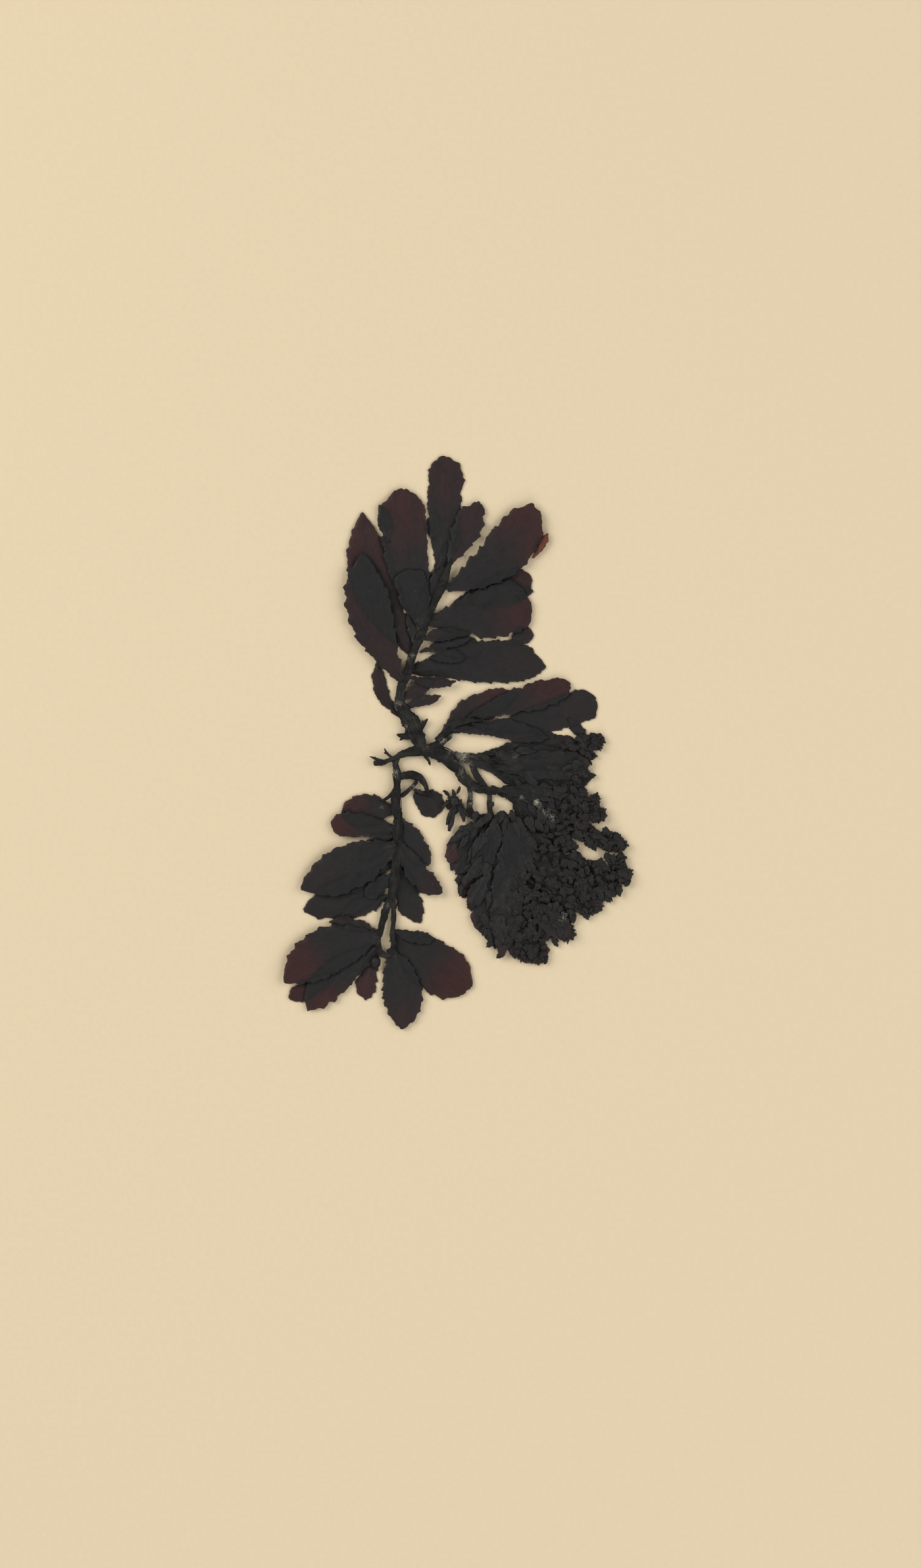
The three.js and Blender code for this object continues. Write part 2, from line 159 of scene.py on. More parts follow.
# Step from the seed of one part to the next, so that no two look alike
SEED_STEPS = {"leaf": 17, "stem": 29, "cluster": 31, "spindle": 37, "spur": 41, "strand": 43}

# Floor, camera and lights, in m. A light has a place, a width, a part of the main light's
# power and a colour.
FLOOR_DROP = 0.0001
VIEW_CENTRE = (0.000856, -0.011893)
SENSOR_WIDTH = 36.0
SKY_COLOUR, SKY_STRENGTH = (1.0, 0.98, 0.94, 1.0), 0.21
LIGHTS = {
    "light_left": ((-1.0, 0.5, 0.95), 1.1, 1.0, (1.0, 0.98, 0.95)),
    "light_right": ((1.1, 0.1, 1.0), 1.3, 0.75, (0.98, 0.99, 1.0)),
    "light_foot": ((0.1, -1.15, 1.0), 1.2, 0.5, (1.0, 0.99, 0.97)),
}

Leaf = namedtuple("Leaf", "base tip bend left right widest blunt teeth tooth layer wine wine_tip",
                  defaults=(0.1, 0.2))
Stem = namedtuple("Stem", "path lift height wave", defaults=(0.25, 2.5, 1))
Cluster = namedtuple("Cluster", "x y radius")
Spindle = namedtuple("Spindle", "x y z angle length width")

# Leaves: base, tip, bow of the midrib, half-width at the left and right, place of the widest
# part, bluntness of the tip, teeth, tooth depth, layer, and wine colour at base and tip, which
# is left out where it is the usual one.
LEAVES = {
    "upper_shoot": [
        Leaf((-4.4, 46), (-3.4, 82.8), 0.3, 5.1, 5.4, 0.74, 6, 7, 0.9, 0, 0.2, 0.5),
        Leaf((-9.8, 33.5), (-15.4, 73.6), 1.4, 7.4, 6.2, 0.64, 5, 8, 0.9, 1, 0.1, 0.8),
        Leaf((-10.2, 32.8), (-14.6, 50.2), 0, 4.6, 4.8, 0.7, 6, 4, 0.6, 2, 0.1, 0.3),
        Leaf((-12.4, 25.2), (-27.4, 66.4), 4.4, 5.8, 7.4, 0.55, 2.6, 8, 1, 0, 0.35, 0.75),
        Leaf((-16.2, 17.8), (-27.4, 54.6), 3, 6.4, 6.6, 0.6, 2.6, 8, 1.2, 2, 0.4, 0.5),
        Leaf((-3.2, 44.6), (21.8, 69.2), -3.2, 5.6, 8, 0.62, 3.4, 8, 1, 2, 0.1, 0.9),
        Leaf((-8.8, 35), (21.4, 39.8), -1, 9, 6.8, 0.74, 5, 8, 1, 1, 0.1, 0.7),
        Leaf((-10.6, 30), (3.6, 31.4), 0.4, 2, 1.8, 0.4, 2, 2, 0.5, 2, 0.2, 0.4),
        Leaf((-14.4, 20.8), (25.4, 21.9), 0.6, 7.7, 4.8, 0.66, 3.4, 8, 0.9, 0, 0.05, 0.25),
        Leaf((-2.4, 51.5), (6.2, 69.6), 0, 4.2, 4.4, 0.6, 3, 5, 1.1, 1, 0.4, 0.5),
        Leaf((-7.9, 38), (-6.4, 52), 0, 1.8, 1.8, 0.5, 2, 3, 0.5, 0, 0.3, 0.3),
        Leaf((-16.6, 7.4), (-23.2, 23.6), 2.4, 1.9, 2.1, 0.6, 2.4, 4, 0.6, 0, 0.3, 0.5),
        Leaf((-16.2, 9.6), (-4.6, 13.6), 0.4, 1.6, 1.8, 0.6, 2, 2, 0.5, 1, 0.3, 0.5),
        Leaf((-16, 12.4), (-6.6, 18.4), 0, 2.6, 2.2, 0.5, 2, 3, 0.5, 1, 0.3, 0.4),
        Leaf((-14.8, 19.4), (-0.6, 17.8), -0.4, 1.2, 2.4, 0.6, 3, 3, 0.5, 2, 0.3, 0.4),
        Leaf((-1, 40.4), (21.6, 48), 0, 4, 4.4, 0.75, 4, 6, 0.8, 0, 0.3, 0.7),
        Leaf((-11, 26.2), (4, 30.4), 0.4, 1.4, 1.8, 0.5, 3, 4, 0.5, 1, 0.2, 0.2),
        Leaf((-12.6, 28.6), (-13.8, 37.4), 0, 1.6, 1.3, 0.5, 3, 3, 0.4, 1, 0.1, 0.1),
        Leaf((-20, 58), (-22.6, 68.6), 0, 1.6, 2.6, 0.6, 3, 3, 0.5, 1, 0.2, 0.5),
        Leaf((21.6, 53.4), (26, 60.4), 0, 1.2, 1.3, 0.6, 3, 2, 0.3, 1, 2, 2),
        Leaf((-7.4, 58.8), (-6.6, 67), 0, 2.2, 2.2, 0.4, 3, 3, 0.4, 0, 0.3, 0.4),
        Leaf((-12.4, 36), (-3, 50.6), 0, 2.6, 1.6, 0.6, 4, 3, 0.4, 1),
        Leaf((3.4, 41.6), (22, 44), 0, 3.4, 3.8, 0.3, 3, 4, 0.5, 0),
        Leaf((-7.4, 28.2), (7.6, 27), 0, 4, 3, 0.4, 3, 4, 0.5, 0),
        Leaf((15.6, 30.4), (22.4, 31.4), 0, 2.6, 2.6, 0.4, 3, 3, 0.5, 0, 0.2, 0.5),
        Leaf((-8.4, 24.6), (2, 24.8), 0, 2.4, 2, 0.5, 3, 3, 0.4, 1),
        Leaf((-6, 50), (0.6, 61), 0, 2, 2, 0.6, 3, 3, 0.4, 0),
    ],
    "lower_shoot": [
        Leaf((-17.6, -19.4), (-33.6, -20.4), -0.4, 4.6, 4.8, 0.55, 3.4, 5, 1, 0, 0.2, 1.1),
        Leaf((-17.4, -24.4), (-36.8, -23.4), 0.2, 3.4, 4, 0.7, 4, 5, 0.7, 1, 0.05, 0.9),
        Leaf((-17.6, -29.2), (-45.4, -42), 0.6, 6.2, 6.9, 0.48, 3, 7, 0.8, 2, 0.05, 0.25),
        Leaf((-18.4, -39), (-44.8, -48.6), 0.8, 5.2, 6.2, 0.5, 2.6, 6, 0.8, 0, 0.05, 0.25),
        Leaf((-16.8, -21), (-8, -35.2), 0.2, 2.3, 4.6, 0.6, 3.4, 6, 0.9, 1, 0.05, 0.25),
        Leaf((-17, -28), (-4.6, -43.2), -0.6, 2.3, 4.6, 0.66, 3.2, 6, 0.9, 2, 0.05, 0.4),
        Leaf((-17.6, -33), (-10.8, -52.4), -0.4, 3.4, 4.2, 0.6, 2.6, 6, 0.7, 0, 0.05, 0.3),
        Leaf((-12.6, -14.6), (-4, -19.2), 0, 3.4, 4.2, 0.5, 5, 3, 0.6, 0, 0.1, 0.3),
        Leaf((-17.4, -26.6), (-26, -28.2), 0, 1.4, 1.6, 0.5, 3, 3, 0.4, 1),
        Leaf((-17.8, -37.4), (-27, -44.6), 0, 2.2, 2.6, 0.6, 3, 4, 0.5, 1, 0.2, 0.3),
        Leaf((-17.8, -26.4), (-28, -34), 0, 2, 3, 0.6, 3, 4, 0.5, 0),
        Leaf((-18.2, -34), (-31, -43), 0, 2.6, 2.2, 0.6, 3, 4, 0.5, 0),
        Leaf((-19.4, -44), (-34, -50.4), 0, 2.6, 3, 0.5, 3, 4, 0.6, 0),
    ],
    "bottom_leaves": [
        Leaf((-22.4, -56), (-50, -69.4), -1.8, 5.6, 8, 0.5, 2.8, 8, 1, 2, 0.05, 1.2),
        Leaf((-22.2, -58.6), (-43.2, -77.2), -1, 4.2, 6, 0.6, 3.2, 7, 1, 1, 0.05, 1.05),
        Leaf((-23.4, -60), (-26.6, -74.4), -0.4, 2.6, 3.2, 0.7, 3, 4, 0.7, 0, 0.5, 0.9),
        Leaf((-19.8, -59.4), (-16.2, -82.8), 2, 5.8, 6, 0.56, 2.8, 8, 1, 1, 0, 0.55),
        Leaf((-18.6, -54.8), (4, -70.8), -0.8, 7.2, 7.6, 0.56, 3.6, 7, 0.8, 0, 0.15, 1.2),
        Leaf((-34, -66.4), (-49, -73.6), 0, 3, 2.6, 0.7, 3, 4, 0.8, 0, 0.9, 1),
        Leaf((-22.6, -54.6), (-37, -51.8), 0, 1.2, 2.6, 0.6, 3, 4, 0.5, 1, 0.2, 0.4),
        Leaf((-19, -54.2), (-6.6, -56.6), 0, 1.2, 2.4, 0.6, 3, 4, 0.5, 1, 0.2, 0.4),
    ],
    "leafy_branch": [
        Leaf((-4.8, 2.2), (17.4, 14.2), 1.4, 4.6, 4, 0.5, 2.6, 6, 0.7, 0, 0.3, 0.9),
        Leaf((3, 7.4), (33, 16.6), 0.4, 3.8, 4.2, 0.7, 4, 7, 0.6, 1, 0.2, 0.9),
        Leaf((8, 4.6), (40, 12.4), -1.8, 5.3, 4.6, 0.8, 5, 6, 0.7, 0, 0.05, 0.3),
        Leaf((4, 5.8), (26.4, 1.4), 0, 3, 3, 0.5, 2.4, 5, 0.6, 1, 0.2, 0.5),
        Leaf((32, 7), (36.8, 1.2), 0, 1.9, 1.7, 0.5, 3, 3, 0.4, 0),
        Leaf((21, 3.4), (28.2, 2), 0, 1.2, 1.4, 0.5, 3, 3, 0.4, 0),
        Leaf((-3, 3.4), (14, 1.2), 1.2, 1.4, 1, 0.5, 3, 5, 0.4, 1),
    ],
    "fertile_branch_upper": [
        Leaf((7, -3.6), (36.8, -1.4), 0.4, 4.2, 5.4, 0.6, 3.4, 6, 0.7, 0, 0.1, 0.4),
        Leaf((10, -6.6), (38.2, -6), 0, 4, 4.6, 0.6, 3.4, 6, 0.7, 2, 0.1, 0.3),
        Leaf((12.6, -9), (37, -13.4), 0, 4.2, 4.6, 0.55, 3, 6, 0.8, 1, 0.1, 0.3),
        Leaf((15.6, -11), (33.6, -20.4), 0.4, 4, 3.6, 0.55, 3, 5, 0.8, 0, 0.1, 0.4),
        Leaf((31, -15.6), (42.6, -21.4), 0, 2.8, 2.8, 0.5, 3, 3, 0.7, 1, 0.2, 0.5),
        Leaf((34, -20), (48.4, -31), -1.6, 1.6, 2.6, 0.6, 3, 4, 0.7, 0, 0.2, 0.5),
        Leaf((13, -12.6), (31, -18.6), 0.2, 3.4, 3, 0.5, 3, 5, 0.6, 1),
        Leaf((9, -5), (33, -4.4), 0.4, 3.6, 3.6, 0.6, 3, 5, 0.6, 1),
        Leaf((14, -8.8), (35.6, -9.6), 0, 3.4, 3.6, 0.6, 3, 5, 0.6, 0),
        Leaf((2.8, -4.7), (19, -8.4), 0, 2.2, 2.5, 0.6, 3, 4, 0.4, 1, 0.1, 0.1),
        Leaf((6, -3.4), (20, -2.4), 0, 1.6, 2.2, 0.6, 3, 4, 0.4, 0, 0.1, 0.1),
        Leaf((11.6, -13.4), (28, -14.6), 0, 2.4, 2.4, 0.6, 3, 4, 0.5, 2, 0.1, 0.1),
        Leaf((14, -14.6), (27, -22.2), 0, 2.8, 2.4, 0.6, 3, 4, 0.5, 1, 0.1, 0.1),
        Leaf((26, -8.4), (38.8, -10.2), 0, 3.4, 3.6, 0.6, 3, 4, 0.6, 0),
        Leaf((27, -17.6), (36.4, -27), 0, 2.6, 2.8, 0.6, 3, 4, 0.6, 0),
    ],
    "fertile_branch_lower": [
        Leaf((6.4, -22), (-3, -34.4), -0.4, 4, 2.6, 0.62, 3, 5, 0.8, 1, 0.2, 0.7),
        Leaf((8.6, -23), (1.4, -45), 0.4, 4.6, 4.2, 0.6, 3, 7, 1, 0, 0.2, 0.7),
        Leaf((11.2, -23), (9.4, -58), -0.8, 5.2, 4.6, 0.6, 2.4, 8, 1, 1, 0.1, 0.6),
        Leaf((15.4, -23), (12.8, -62), 0, 5.4, 4.6, 0.55, 2.4, 8, 1, 2, 0.1, 0.5),
        Leaf((18, -28), (22, -54), 1.2, 5, 4.6, 0.55, 2.6, 6, 1, 0, 0.1, 0.4),
        Leaf((18.2, -24.6), (30.4, -44), 1.4, 5, 4.8, 0.55, 2.6, 6, 1, 1, 0.1, 0.4),
        Leaf((18.8, -22), (32.8, -31.4), 0.4, 4.8, 4, 0.55, 2.6, 5, 0.9, 0, 0.1, 0.4),
        Leaf((24.6, -31.6), (48, -39.8), 0, 2.6, 4.8, 0.6, 3.4, 5, 0.8, 0, 0.1, 0.5),
        Leaf((24, -42), (42, -47.6), 0, 4.2, 3.8, 0.6, 3.4, 4, 0.8, 1, 0.1, 0.5),
        Leaf((20, -46.4), (32.4, -55.6), 0.4, 3.6, 3.8, 0.6, 3.4, 4, 0.8, 2, 0.1, 0.5),
        Leaf((20.6, -50.4), (24.4, -63.4), 0, 3.2, 6, 0.7, 3.4, 4, 0.8, 1, 0.1, 0.5),
        Leaf((18.4, -18.4), (32.6, -26.4), 0.6, 2.8, 2.8, 0.6, 3, 5, 0.6, 1),
        Leaf((6, -30), (-0.6, -38), 0, 2.6, 2.2, 0.6, 3, 4, 0.6, 1, 0.2, 0.5),
        Leaf((8.4, -38), (3.6, -47.6), 0, 2.4, 2.6, 0.6, 3, 4, 0.7, 2, 0.2, 0.5),
        Leaf((8, -20.6), (0.6, -32.6), 0, 3.4, 3.4, 0.6, 3, 5, 0.6, 0, 0.1, 0.4),
        Leaf((11.4, -20.8), (5.4, -39), 0.4, 3.4, 3.4, 0.6, 3, 6, 0.7, 2),
        Leaf((14.6, -20.6), (11.4, -37.6), 0, 3.6, 3.8, 0.6, 3, 6, 0.7, 1),
        Leaf((17, -21.2), (19.6, -37), 0, 3.8, 3.8, 0.6, 3, 6, 0.7, 2),
        Leaf((9.6, -36), (6.6, -55), 0, 2.8, 3.6, 0.6, 3, 6, 0.8, 1, 0.1, 0.5),
        Leaf((14.4, -38), (10.8, -59.6), 0, 3.4, 3.6, 0.6, 3, 7, 0.8, 0, 0.1, 0.5),
        Leaf((18.6, -40), (16.6, -62.4), 0, 3.4, 3.6, 0.6, 3, 7, 0.8, 1, 0.1, 0.4),
        Leaf((22, -43.4), (34, -51.6), 0, 3.2, 3.4, 0.6, 3, 4, 0.7, 0, 0.1, 0.3),
        Leaf((26, -37.4), (39.6, -42.4), 0, 2, 2.4, 0.6, 3, 4, 0.7, 0, 0.1, 0.3),
    ],
}

# Stems: points of x, y and width, then the height of the underside, the height of the stem,
# and whether it follows the waves.
STEMS = {
    "main_axis": [
        Stem([(-24.3, -5.9, 2.4), (-22.6, -5.7, 2.6), (-20.8, -5.4, 1.7), (-18.4, -4.6, 1.9),
              (-15.2, -3.1, 2.7), (-11.5, -2.3, 3.8), (-7.2, -2.4, 4.6), (-3.2, -4.2, 5),
              (0, -7.6, 4.4), (2.6, -11, 3.8), (5.7, -13.1, 2.9), (9.6, -13.9, 2.2),
              (12.6, -13.9, 1.9)], 0, 2.8, 0),
        Stem([(-1.2, -3.2, 2.6), (3.4, -5.4, 2.4), (5, -8.6, 2.3), (6.8, -11.2, 2.3),
              (8.6, -13.4, 1.6)], 0.2, 2, 0),
        Stem([(-8, -1.4, 2.6), (-4.2, 0.4, 2.4), (-1.6, 2.6, 1.6)], 0.4, 2, 0),
        Stem([(-21, -5.4, 1.2), (-23.6, -4.6, 0.9), (-25.4, -3.9, 0.4)], 0.6, 1.6, 0),
        Stem([(-18.6, -4.6, 1.1), (-20.4, -3, 0.9), (-21.2, -1.6, 0.4)], 0.6, 1.6, 0),
        Stem([(9.6, -12.6, 1.4), (12, -13.8, 2), (15.4, -14.6, 2.2)], 0.3, 2, 0),
        Stem([(-9.6, -3.6, 1.4), (-8.2, -5.4, 0.9), (-7.9, -6.6, 0.4)], 0.4, 1.8, 0),
    ],
    "upper_shoot": [
        Stem([(-12.3, 1.1, 4), (-12.8, 3.4, 5.6), (-13.6, 6.4, 6.4), (-15.8, 9.4, 4.4),
              (-16.8, 12.4, 3.1), (-15.8, 17, 3.3), (-14.4, 20.6, 3.4), (-13, 25.4, 3),
              (-10.9, 30.2, 2.8), (-9, 35, 2.6), (-7, 40, 2.6), (-4.8, 45, 3), (-3.2, 49, 2.6),
              (-1.8, 53.4, 0.6)]),
        Stem([(-14.4, 7.4, 4.4), (-11.8, 3.2, 5.4), (-10.6, -1.6, 4.2)], 0.3, 2.3),
        Stem([(-12.8, 2.4, 3), (-15.4, 1.8, 2.2), (-17.6, 2.4, 0.8)], 0.3, 1.6),
        Stem([(-11.4, 3.4, 2.2), (-9.8, 5.4, 1.6), (-8.6, 7, 0.6)], 0.3, 1.6),
        Stem([(-5.6, 44, 1.6), (-2.6, 45.4, 1.5), (1.4, 47.4, 1)], 1.2, 1.5),
    ],
    "lower_shoot": [
        Stem([(-17.9, -6.9, 2.4), (-17.3, -9.6, 2.8), (-17.6, -13, 2.8), (-17.9, -16.4, 3.4),
              (-17.4, -21, 3.4), (-17.1, -27, 3.4), (-17.5, -33, 3.4), (-18.2, -39, 3.2),
              (-19.2, -44, 2.6), (-20.6, -48, 2.6), (-21.8, -52, 2.6), (-22.6, -56.4, 1.6)]),
        Stem([(-17.4, -3.6, 2), (-18, -6, 2.2), (-17.4, -9, 2.4)], 0.4, 2),
        Stem([(-17.6, -13, 2), (-19.6, -15.4, 1.4), (-22, -17, 0.9)], 0.4, 1.7),
        Stem([(-18.3, -42, 1.4), (-18.6, -46, 1.7), (-18.4, -50, 1.8), (-18.8, -54.4, 1.6)],
             0.3, 2),
        Stem([(-17, -10, 2.6), (-14.4, -9.2, 2.8), (-11.4, -9.8, 2.8), (-9.6, -11.6, 2),
              (-8.8, -13.6, 1.5), (-8, -15.6, 0.8)], 0.3, 1.9),
        Stem([(-11.6, -11, 1.4), (-13.8, -13.4, 1.4), (-16.4, -15.6, 1.6)], 0.3, 1.7),
        Stem([(-13.6, -12.6, 1), (-11.4, -14, 1.2), (-8.6, -15, 1.2)], 0.25, 1.6),
    ],
    "bottom_leaves": [
        Stem([(-22.8, -55.2, 1.9), (-23, -58, 2.1), (-22.4, -60.4, 2.2), (-20.8, -61.8, 1.8)]),
        Stem([(-18.9, -53.8, 1.6), (-18.7, -56.4, 1.9), (-18.6, -59, 2), (-19.6, -61.2, 2.2),
              (-21.4, -61.8, 1.6)], 0.3, 2.3),
        Stem([(-22.2, -60, 1), (-23, -61.6, 0.8), (-23.4, -62.8, 0.8)], 0.5, 1),
    ],
    "leafy_branch": [
        Stem([(-6.4, 0.8, 1.6), (-4, 2.6, 2.2), (-1.2, 5, 2.4), (2.6, 6.4, 1.8), (7, 6.4, 0.7)]),
    ],
    "fertile_branch_upper": [
        Stem([(5.6, -3.2, 1.8), (8, -4.6, 2.6), (11, -6.2, 2.6), (16, -8, 2.6), (22, -9.4, 2.2),
              (28, -12, 2), (33, -17, 1.6)]),
        Stem([(33, -17, 1.4), (36, -21, 1.4), (38.6, -24.6, 1.4), (42, -28, 1.4),
              (46, -29.6, 1)], 0.4, 2.1),
        Stem([(8, -6, 2), (11.4, -8.6, 2.6), (14.4, -11, 2.8), (18, -12.4, 2.4),
              (24, -14, 1.6)], 0.3, 2.3),
        Stem([(0.4, -4, 2.2), (3.2, -3.8, 2.4), (6.4, -4.4, 2)], 0.3, 2.2),
    ],
    "fertile_branch_lower": [
        Stem([(14.3, -14.9, 2), (17, -16.9, 3.6), (18.2, -20.5, 4.8), (18, -25, 4),
              (18, -30, 2.6), (18.4, -37, 2.2), (19.6, -45, 1.8), (21, -53, 1.4),
              (22, -58, 1.2)]),
        Stem([(3.7, -15, 1.5), (3.4, -18.4, 1.9), (5, -21.4, 3), (9.6, -22, 3.2), (13, -22.4, 3),
              (17.6, -22.4, 2.6)], 0.3, 2.3),
        Stem([(9.4, -15.6, 1.7), (9.2, -18, 1.9), (9.8, -22, 2.2)], 0.4, 2.1),
        Stem([(18, -27, 1.4), (25, -31.6, 1.6), (32, -37, 1.6), (39, -40, 1.4),
              (46, -39, 1.2)], 0.4, 2.1),
        Stem([(18.6, -38, 1.4), (25, -42.6, 1.4), (33, -47, 1.3), (38, -47, 1)], 0.4, 2.1),
        Stem([(20, -46, 1.2), (25.6, -51, 1.2), (31, -54, 1)], 0.4, 2.1),
        Stem([(11.6, -14, 2.4), (15, -15.2, 2.8), (18.6, -17, 2.4), (23, -19, 1.4)], 0.3, 2.2),
        Stem([(3.2, -13, 1.6), (3.8, -15.6, 1.6), (3.6, -18, 1.6)], 0.3, 2),
        Stem([(9, -13.4, 1.6), (9.4, -16.4, 1.6)], 0.3, 2),
    ],
}

CLUSTERS = {
    "fertile_branch_upper": [
        Cluster(36.4, 0.2, 2.8), Cluster(40.2, 0.4, 2.5), Cluster(37.6, -3.8, 2.2),
        Cluster(33.4, -11, 3), Cluster(36.2, -18.6, 2.8), Cluster(40.6, -20.6, 2.7),
        Cluster(39.6, -16.6, 1.9), Cluster(35.8, -24.6, 2.6), Cluster(38.2, -27.4, 2.8),
        Cluster(41, -27.8, 2.4), Cluster(44.4, -28.8, 3), Cluster(47, -29.4, 2.1),
    ],
    "fertile_branch_lower": [
        Cluster(46, -34.9, 2.6), Cluster(47.9, -38.2, 3.2), Cluster(45, -42, 2.9),
        Cluster(41.2, -38, 3), Cluster(36.4, -38, 2.8), Cluster(34, -33.2, 2.3),
        Cluster(39.6, -46.8, 3.1), Cluster(34.6, -45.6, 3), Cluster(31.3, -54.7, 3.1),
        Cluster(28, -50.4, 3), Cluster(23.2, -61.4, 3), Cluster(18, -60, 2.9),
        Cluster(22.8, -56, 3), Cluster(28.6, -41.6, 3), Cluster(22, -44.6, 3),
        Cluster(16, -50.6, 3),
    ],
    "gap_cluster": [Cluster(-0.9, -17.6, 2.6)],
}

SPINDLES = {
    "gap_cluster": [
        Spindle(-0.6, -17.8, 1.2, -1.8, 8, 1.7),
        Spindle(0, -18, 1.3, -1.2, 5.2, 1.6),
        Spindle(-0.9, -16.6, 1.2, 1.75, 3.2, 1.1),
        Spindle(0.6, -18, 1.3, -0.9, 4.4, 1.3),
        Spindle(-2, -17, 1.4, -2.6, 3, 1.1),
        Spindle(-1.6, -19, 1.6, -1.9, 5, 1.2),
        Spindle(-0.2, -14.8, 1.3, 1.2, 2.4, 0.9),
        Spindle(-2.4, -15.4, 1.2, 2.4, 2.4, 1),
    ],
}

# The point that the flakes of a node fan out from
FOOT = {"fertile_branch_upper": (4, 3), "fertile_branch_lower": (15, -14), "gap_cluster": (-1, -12)}

# Single flakes, most of them at the outline of a node: x, y, height and radius
FLAKE_SPOTS = {
    "fertile_branch_upper": [
        (35, -27.2, 1.2, 1.9), (33.8, -22.6, 1.4, 2), (31, -21.4, 1.2, 1.9),
        (36.8, -22.2, 1.6, 1.8), (43, -25.6, 1.3, 1.7), (38.6, -1.6, 1.4, 1.8),
        (34.6, -6.4, 2.6, 1.8), (36, -14.6, 1.6, 2), (38.4, -9.4, 1.2, 1.6),
        (28.4, -20.6, 1.2, 1.7), (39.6, -30, 1.1, 1.5),
    ],
    "fertile_branch_lower": [
        (43.6, -33.6, 1.2, 1.8), (41.8, -35, 1.4, 1.8), (47.4, -32.8, 1.2, 1.6),
        (33.6, -29.4, 1.3, 1.9), (36, -35.4, 1.4, 1.9), (26, -55.6, 1.2, 2), (28.4, -57.2, 1, 1.6),
        (37, -49.4, 1.2, 1.8), (35.8, -41, 1.4, 1.8), (38, -41.6, 1.2, 1.6), (33, -50, 1.3, 1.9),
        (-1.4, -35.4, 0.9, 1.5), (0.6, -39.6, 0.9, 1.6), (1.6, -43.4, 0.9, 1.5), (3.8, -47, 1, 1.6),
        (5.4, -50.4, 1, 1.5), (7.2, -54.2, 1, 1.5), (9.2, -57.8, 1, 1.5), (12.4, -61, 1.1, 1.6),
        (5, -21.2, 2.2, 1.6), (8.8, -21.8, 2.3, 1.7), (12.6, -21.4, 2.3, 1.8),
        (15.8, -21.2, 2.4, 1.7), (3.6, -17.8, 1.9, 1.2), (9.6, -18, 1.9, 1.2),
        (25.4, -24.6, 1.6, 2), (24.4, -22, 1.2, 1.8), (41, -43.6, 1.3, 2), (31.6, -37.6, 1.8, 2),
        (43.4, -45, 1.1, 1.6),
    ],
    "gap_cluster": [(-1, -17.2, 1.8, 1.6), (-0.2, -19.4, 1.4, 1.3)],
}

# Pale crust: x, y, radius and strength
CRUST = [
    (-17, 11.5, 1, 0.8), (-13, 25.5, 0.7, 0.8), (-14.2, 16.7, 0.6, 0.8), (-4.2, 0.5, 1, 0.9),
    (-2, -2.2, 0.9, 0.6), (1.5, -3.8, 2.6, 0.7), (4.6, -16, 2.4, 0.75), (23.2, -17.7, 1.2, 0.7),
    (3.4, -6.6, 1.8, 0.5), (9.4, -16.4, 1.2, 0.5), (1.4, -8.6, 1.8, 0.45), (-0.8, 2, 1.2, 0.9),
    (22.9, -17.2, 0.8, 1.2), (25.6, -20, 1.1, 0.7), (27.4, -21.6, 1, 0.7), (16.6, -4, 1.2, 0.35),
    (30.4, -51, 1.1, 0.45), (27.4, -36.6, 0.6, 0.7), (-14.4, 24.4, 0.9, 0.6),
    (18.5, -16, 0.8, 0.5), (-18, -9, 1.1, 0.8), (-22, -18.5, 0.7, 0.4), (-13, -13, 1, 0.7),
    (-14.6, 4.6, 1.2, 0.4), (31, -49, 1, 0.45), (-20.4, -47, 0.8, 0.4), (-9, -1.6, 1, 0.4),
]


def patches(x, y, seed):
    """Smooth random values from -1 to 1, with about one patch for every unit of x and y."""
    x, y = np.broadcast_arrays(np.asarray(x, float), np.asarray(y, float))
    left, low = np.floor(x).astype(np.int64), np.floor(y).astype(np.int64)
    in_x, in_y = x - left, y - low
    in_x, in_y = in_x * in_x * (3 - 2 * in_x), in_y * in_y * (3 - 2 * in_y)

    def corner(i, j):
        mixed = (i * MIX_X + j * MIX_Y + seed * MIX_SEED) & LOW_31_BITS
        mixed = ((mixed ^ (mixed >> 13)) * MIX_AGAIN) & LOW_31_BITS
        return (mixed ^ (mixed >> 16)) / LOW_30_BITS - 1

    near = corner(left, low) * (1 - in_x) + corner(left + 1, low) * in_x
    far = corner(left, low + 1) * (1 - in_x) + corner(left + 1, low + 1) * in_x
    return near * (1 - in_y) + far * in_y


def grain(x, y, seed, octaves=3):
    """Patches with finer patches on them."""
    total = 0
    for octave in range(octaves):
        total = total + patches(x * 2 ** octave, y * 2 ** octave, seed + octave) / 2 ** octave
    return total / GRAIN_REACH


def step(low, high, value):
    """A soft step from 0 at low to 1 at high."""
    part = np.clip((value - low) / (high - low), 0, 1)
    return part * part * (3 - 2 * part)


def rise(sizes, x, y):
    """Height in mm of the gentle waves that the whole plant lies in."""
    wave = np.sin(x / WAVE_X + WAVE_START_X) * np.sin(y / WAVE_Y + WAVE_START_Y)
    return sizes.ripple / MM * np.maximum(0, wave)


def crust_at(x, y):
    """How much pale crust lies on the plant at a point."""
    total = np.zeros(x.shape)
    for cx, cy, radius, strength in CRUST:
        total = np.maximum(total, strength * np.exp(-((x - cx) ** 2 + (y - cy) ** 2) / radius ** 2))
    return total * (0.8 + 0.6 * patches(x * 1.3, y * 1.3, 3))


def spread(along, widest, blunt):
    """Half-width of a leaf at along, 0 at its base and 1 at its tip, as a part of the full one."""
    before = BASE_SHARE + (1 - BASE_SHARE) * np.sin(np.pi / 2 * np.minimum(along / widest, 1))
    past = np.clip(TIP_REACH * (along - widest) / (1 - widest), 0, 1)
    return np.where(along < widest, before, 1 - past ** blunt)


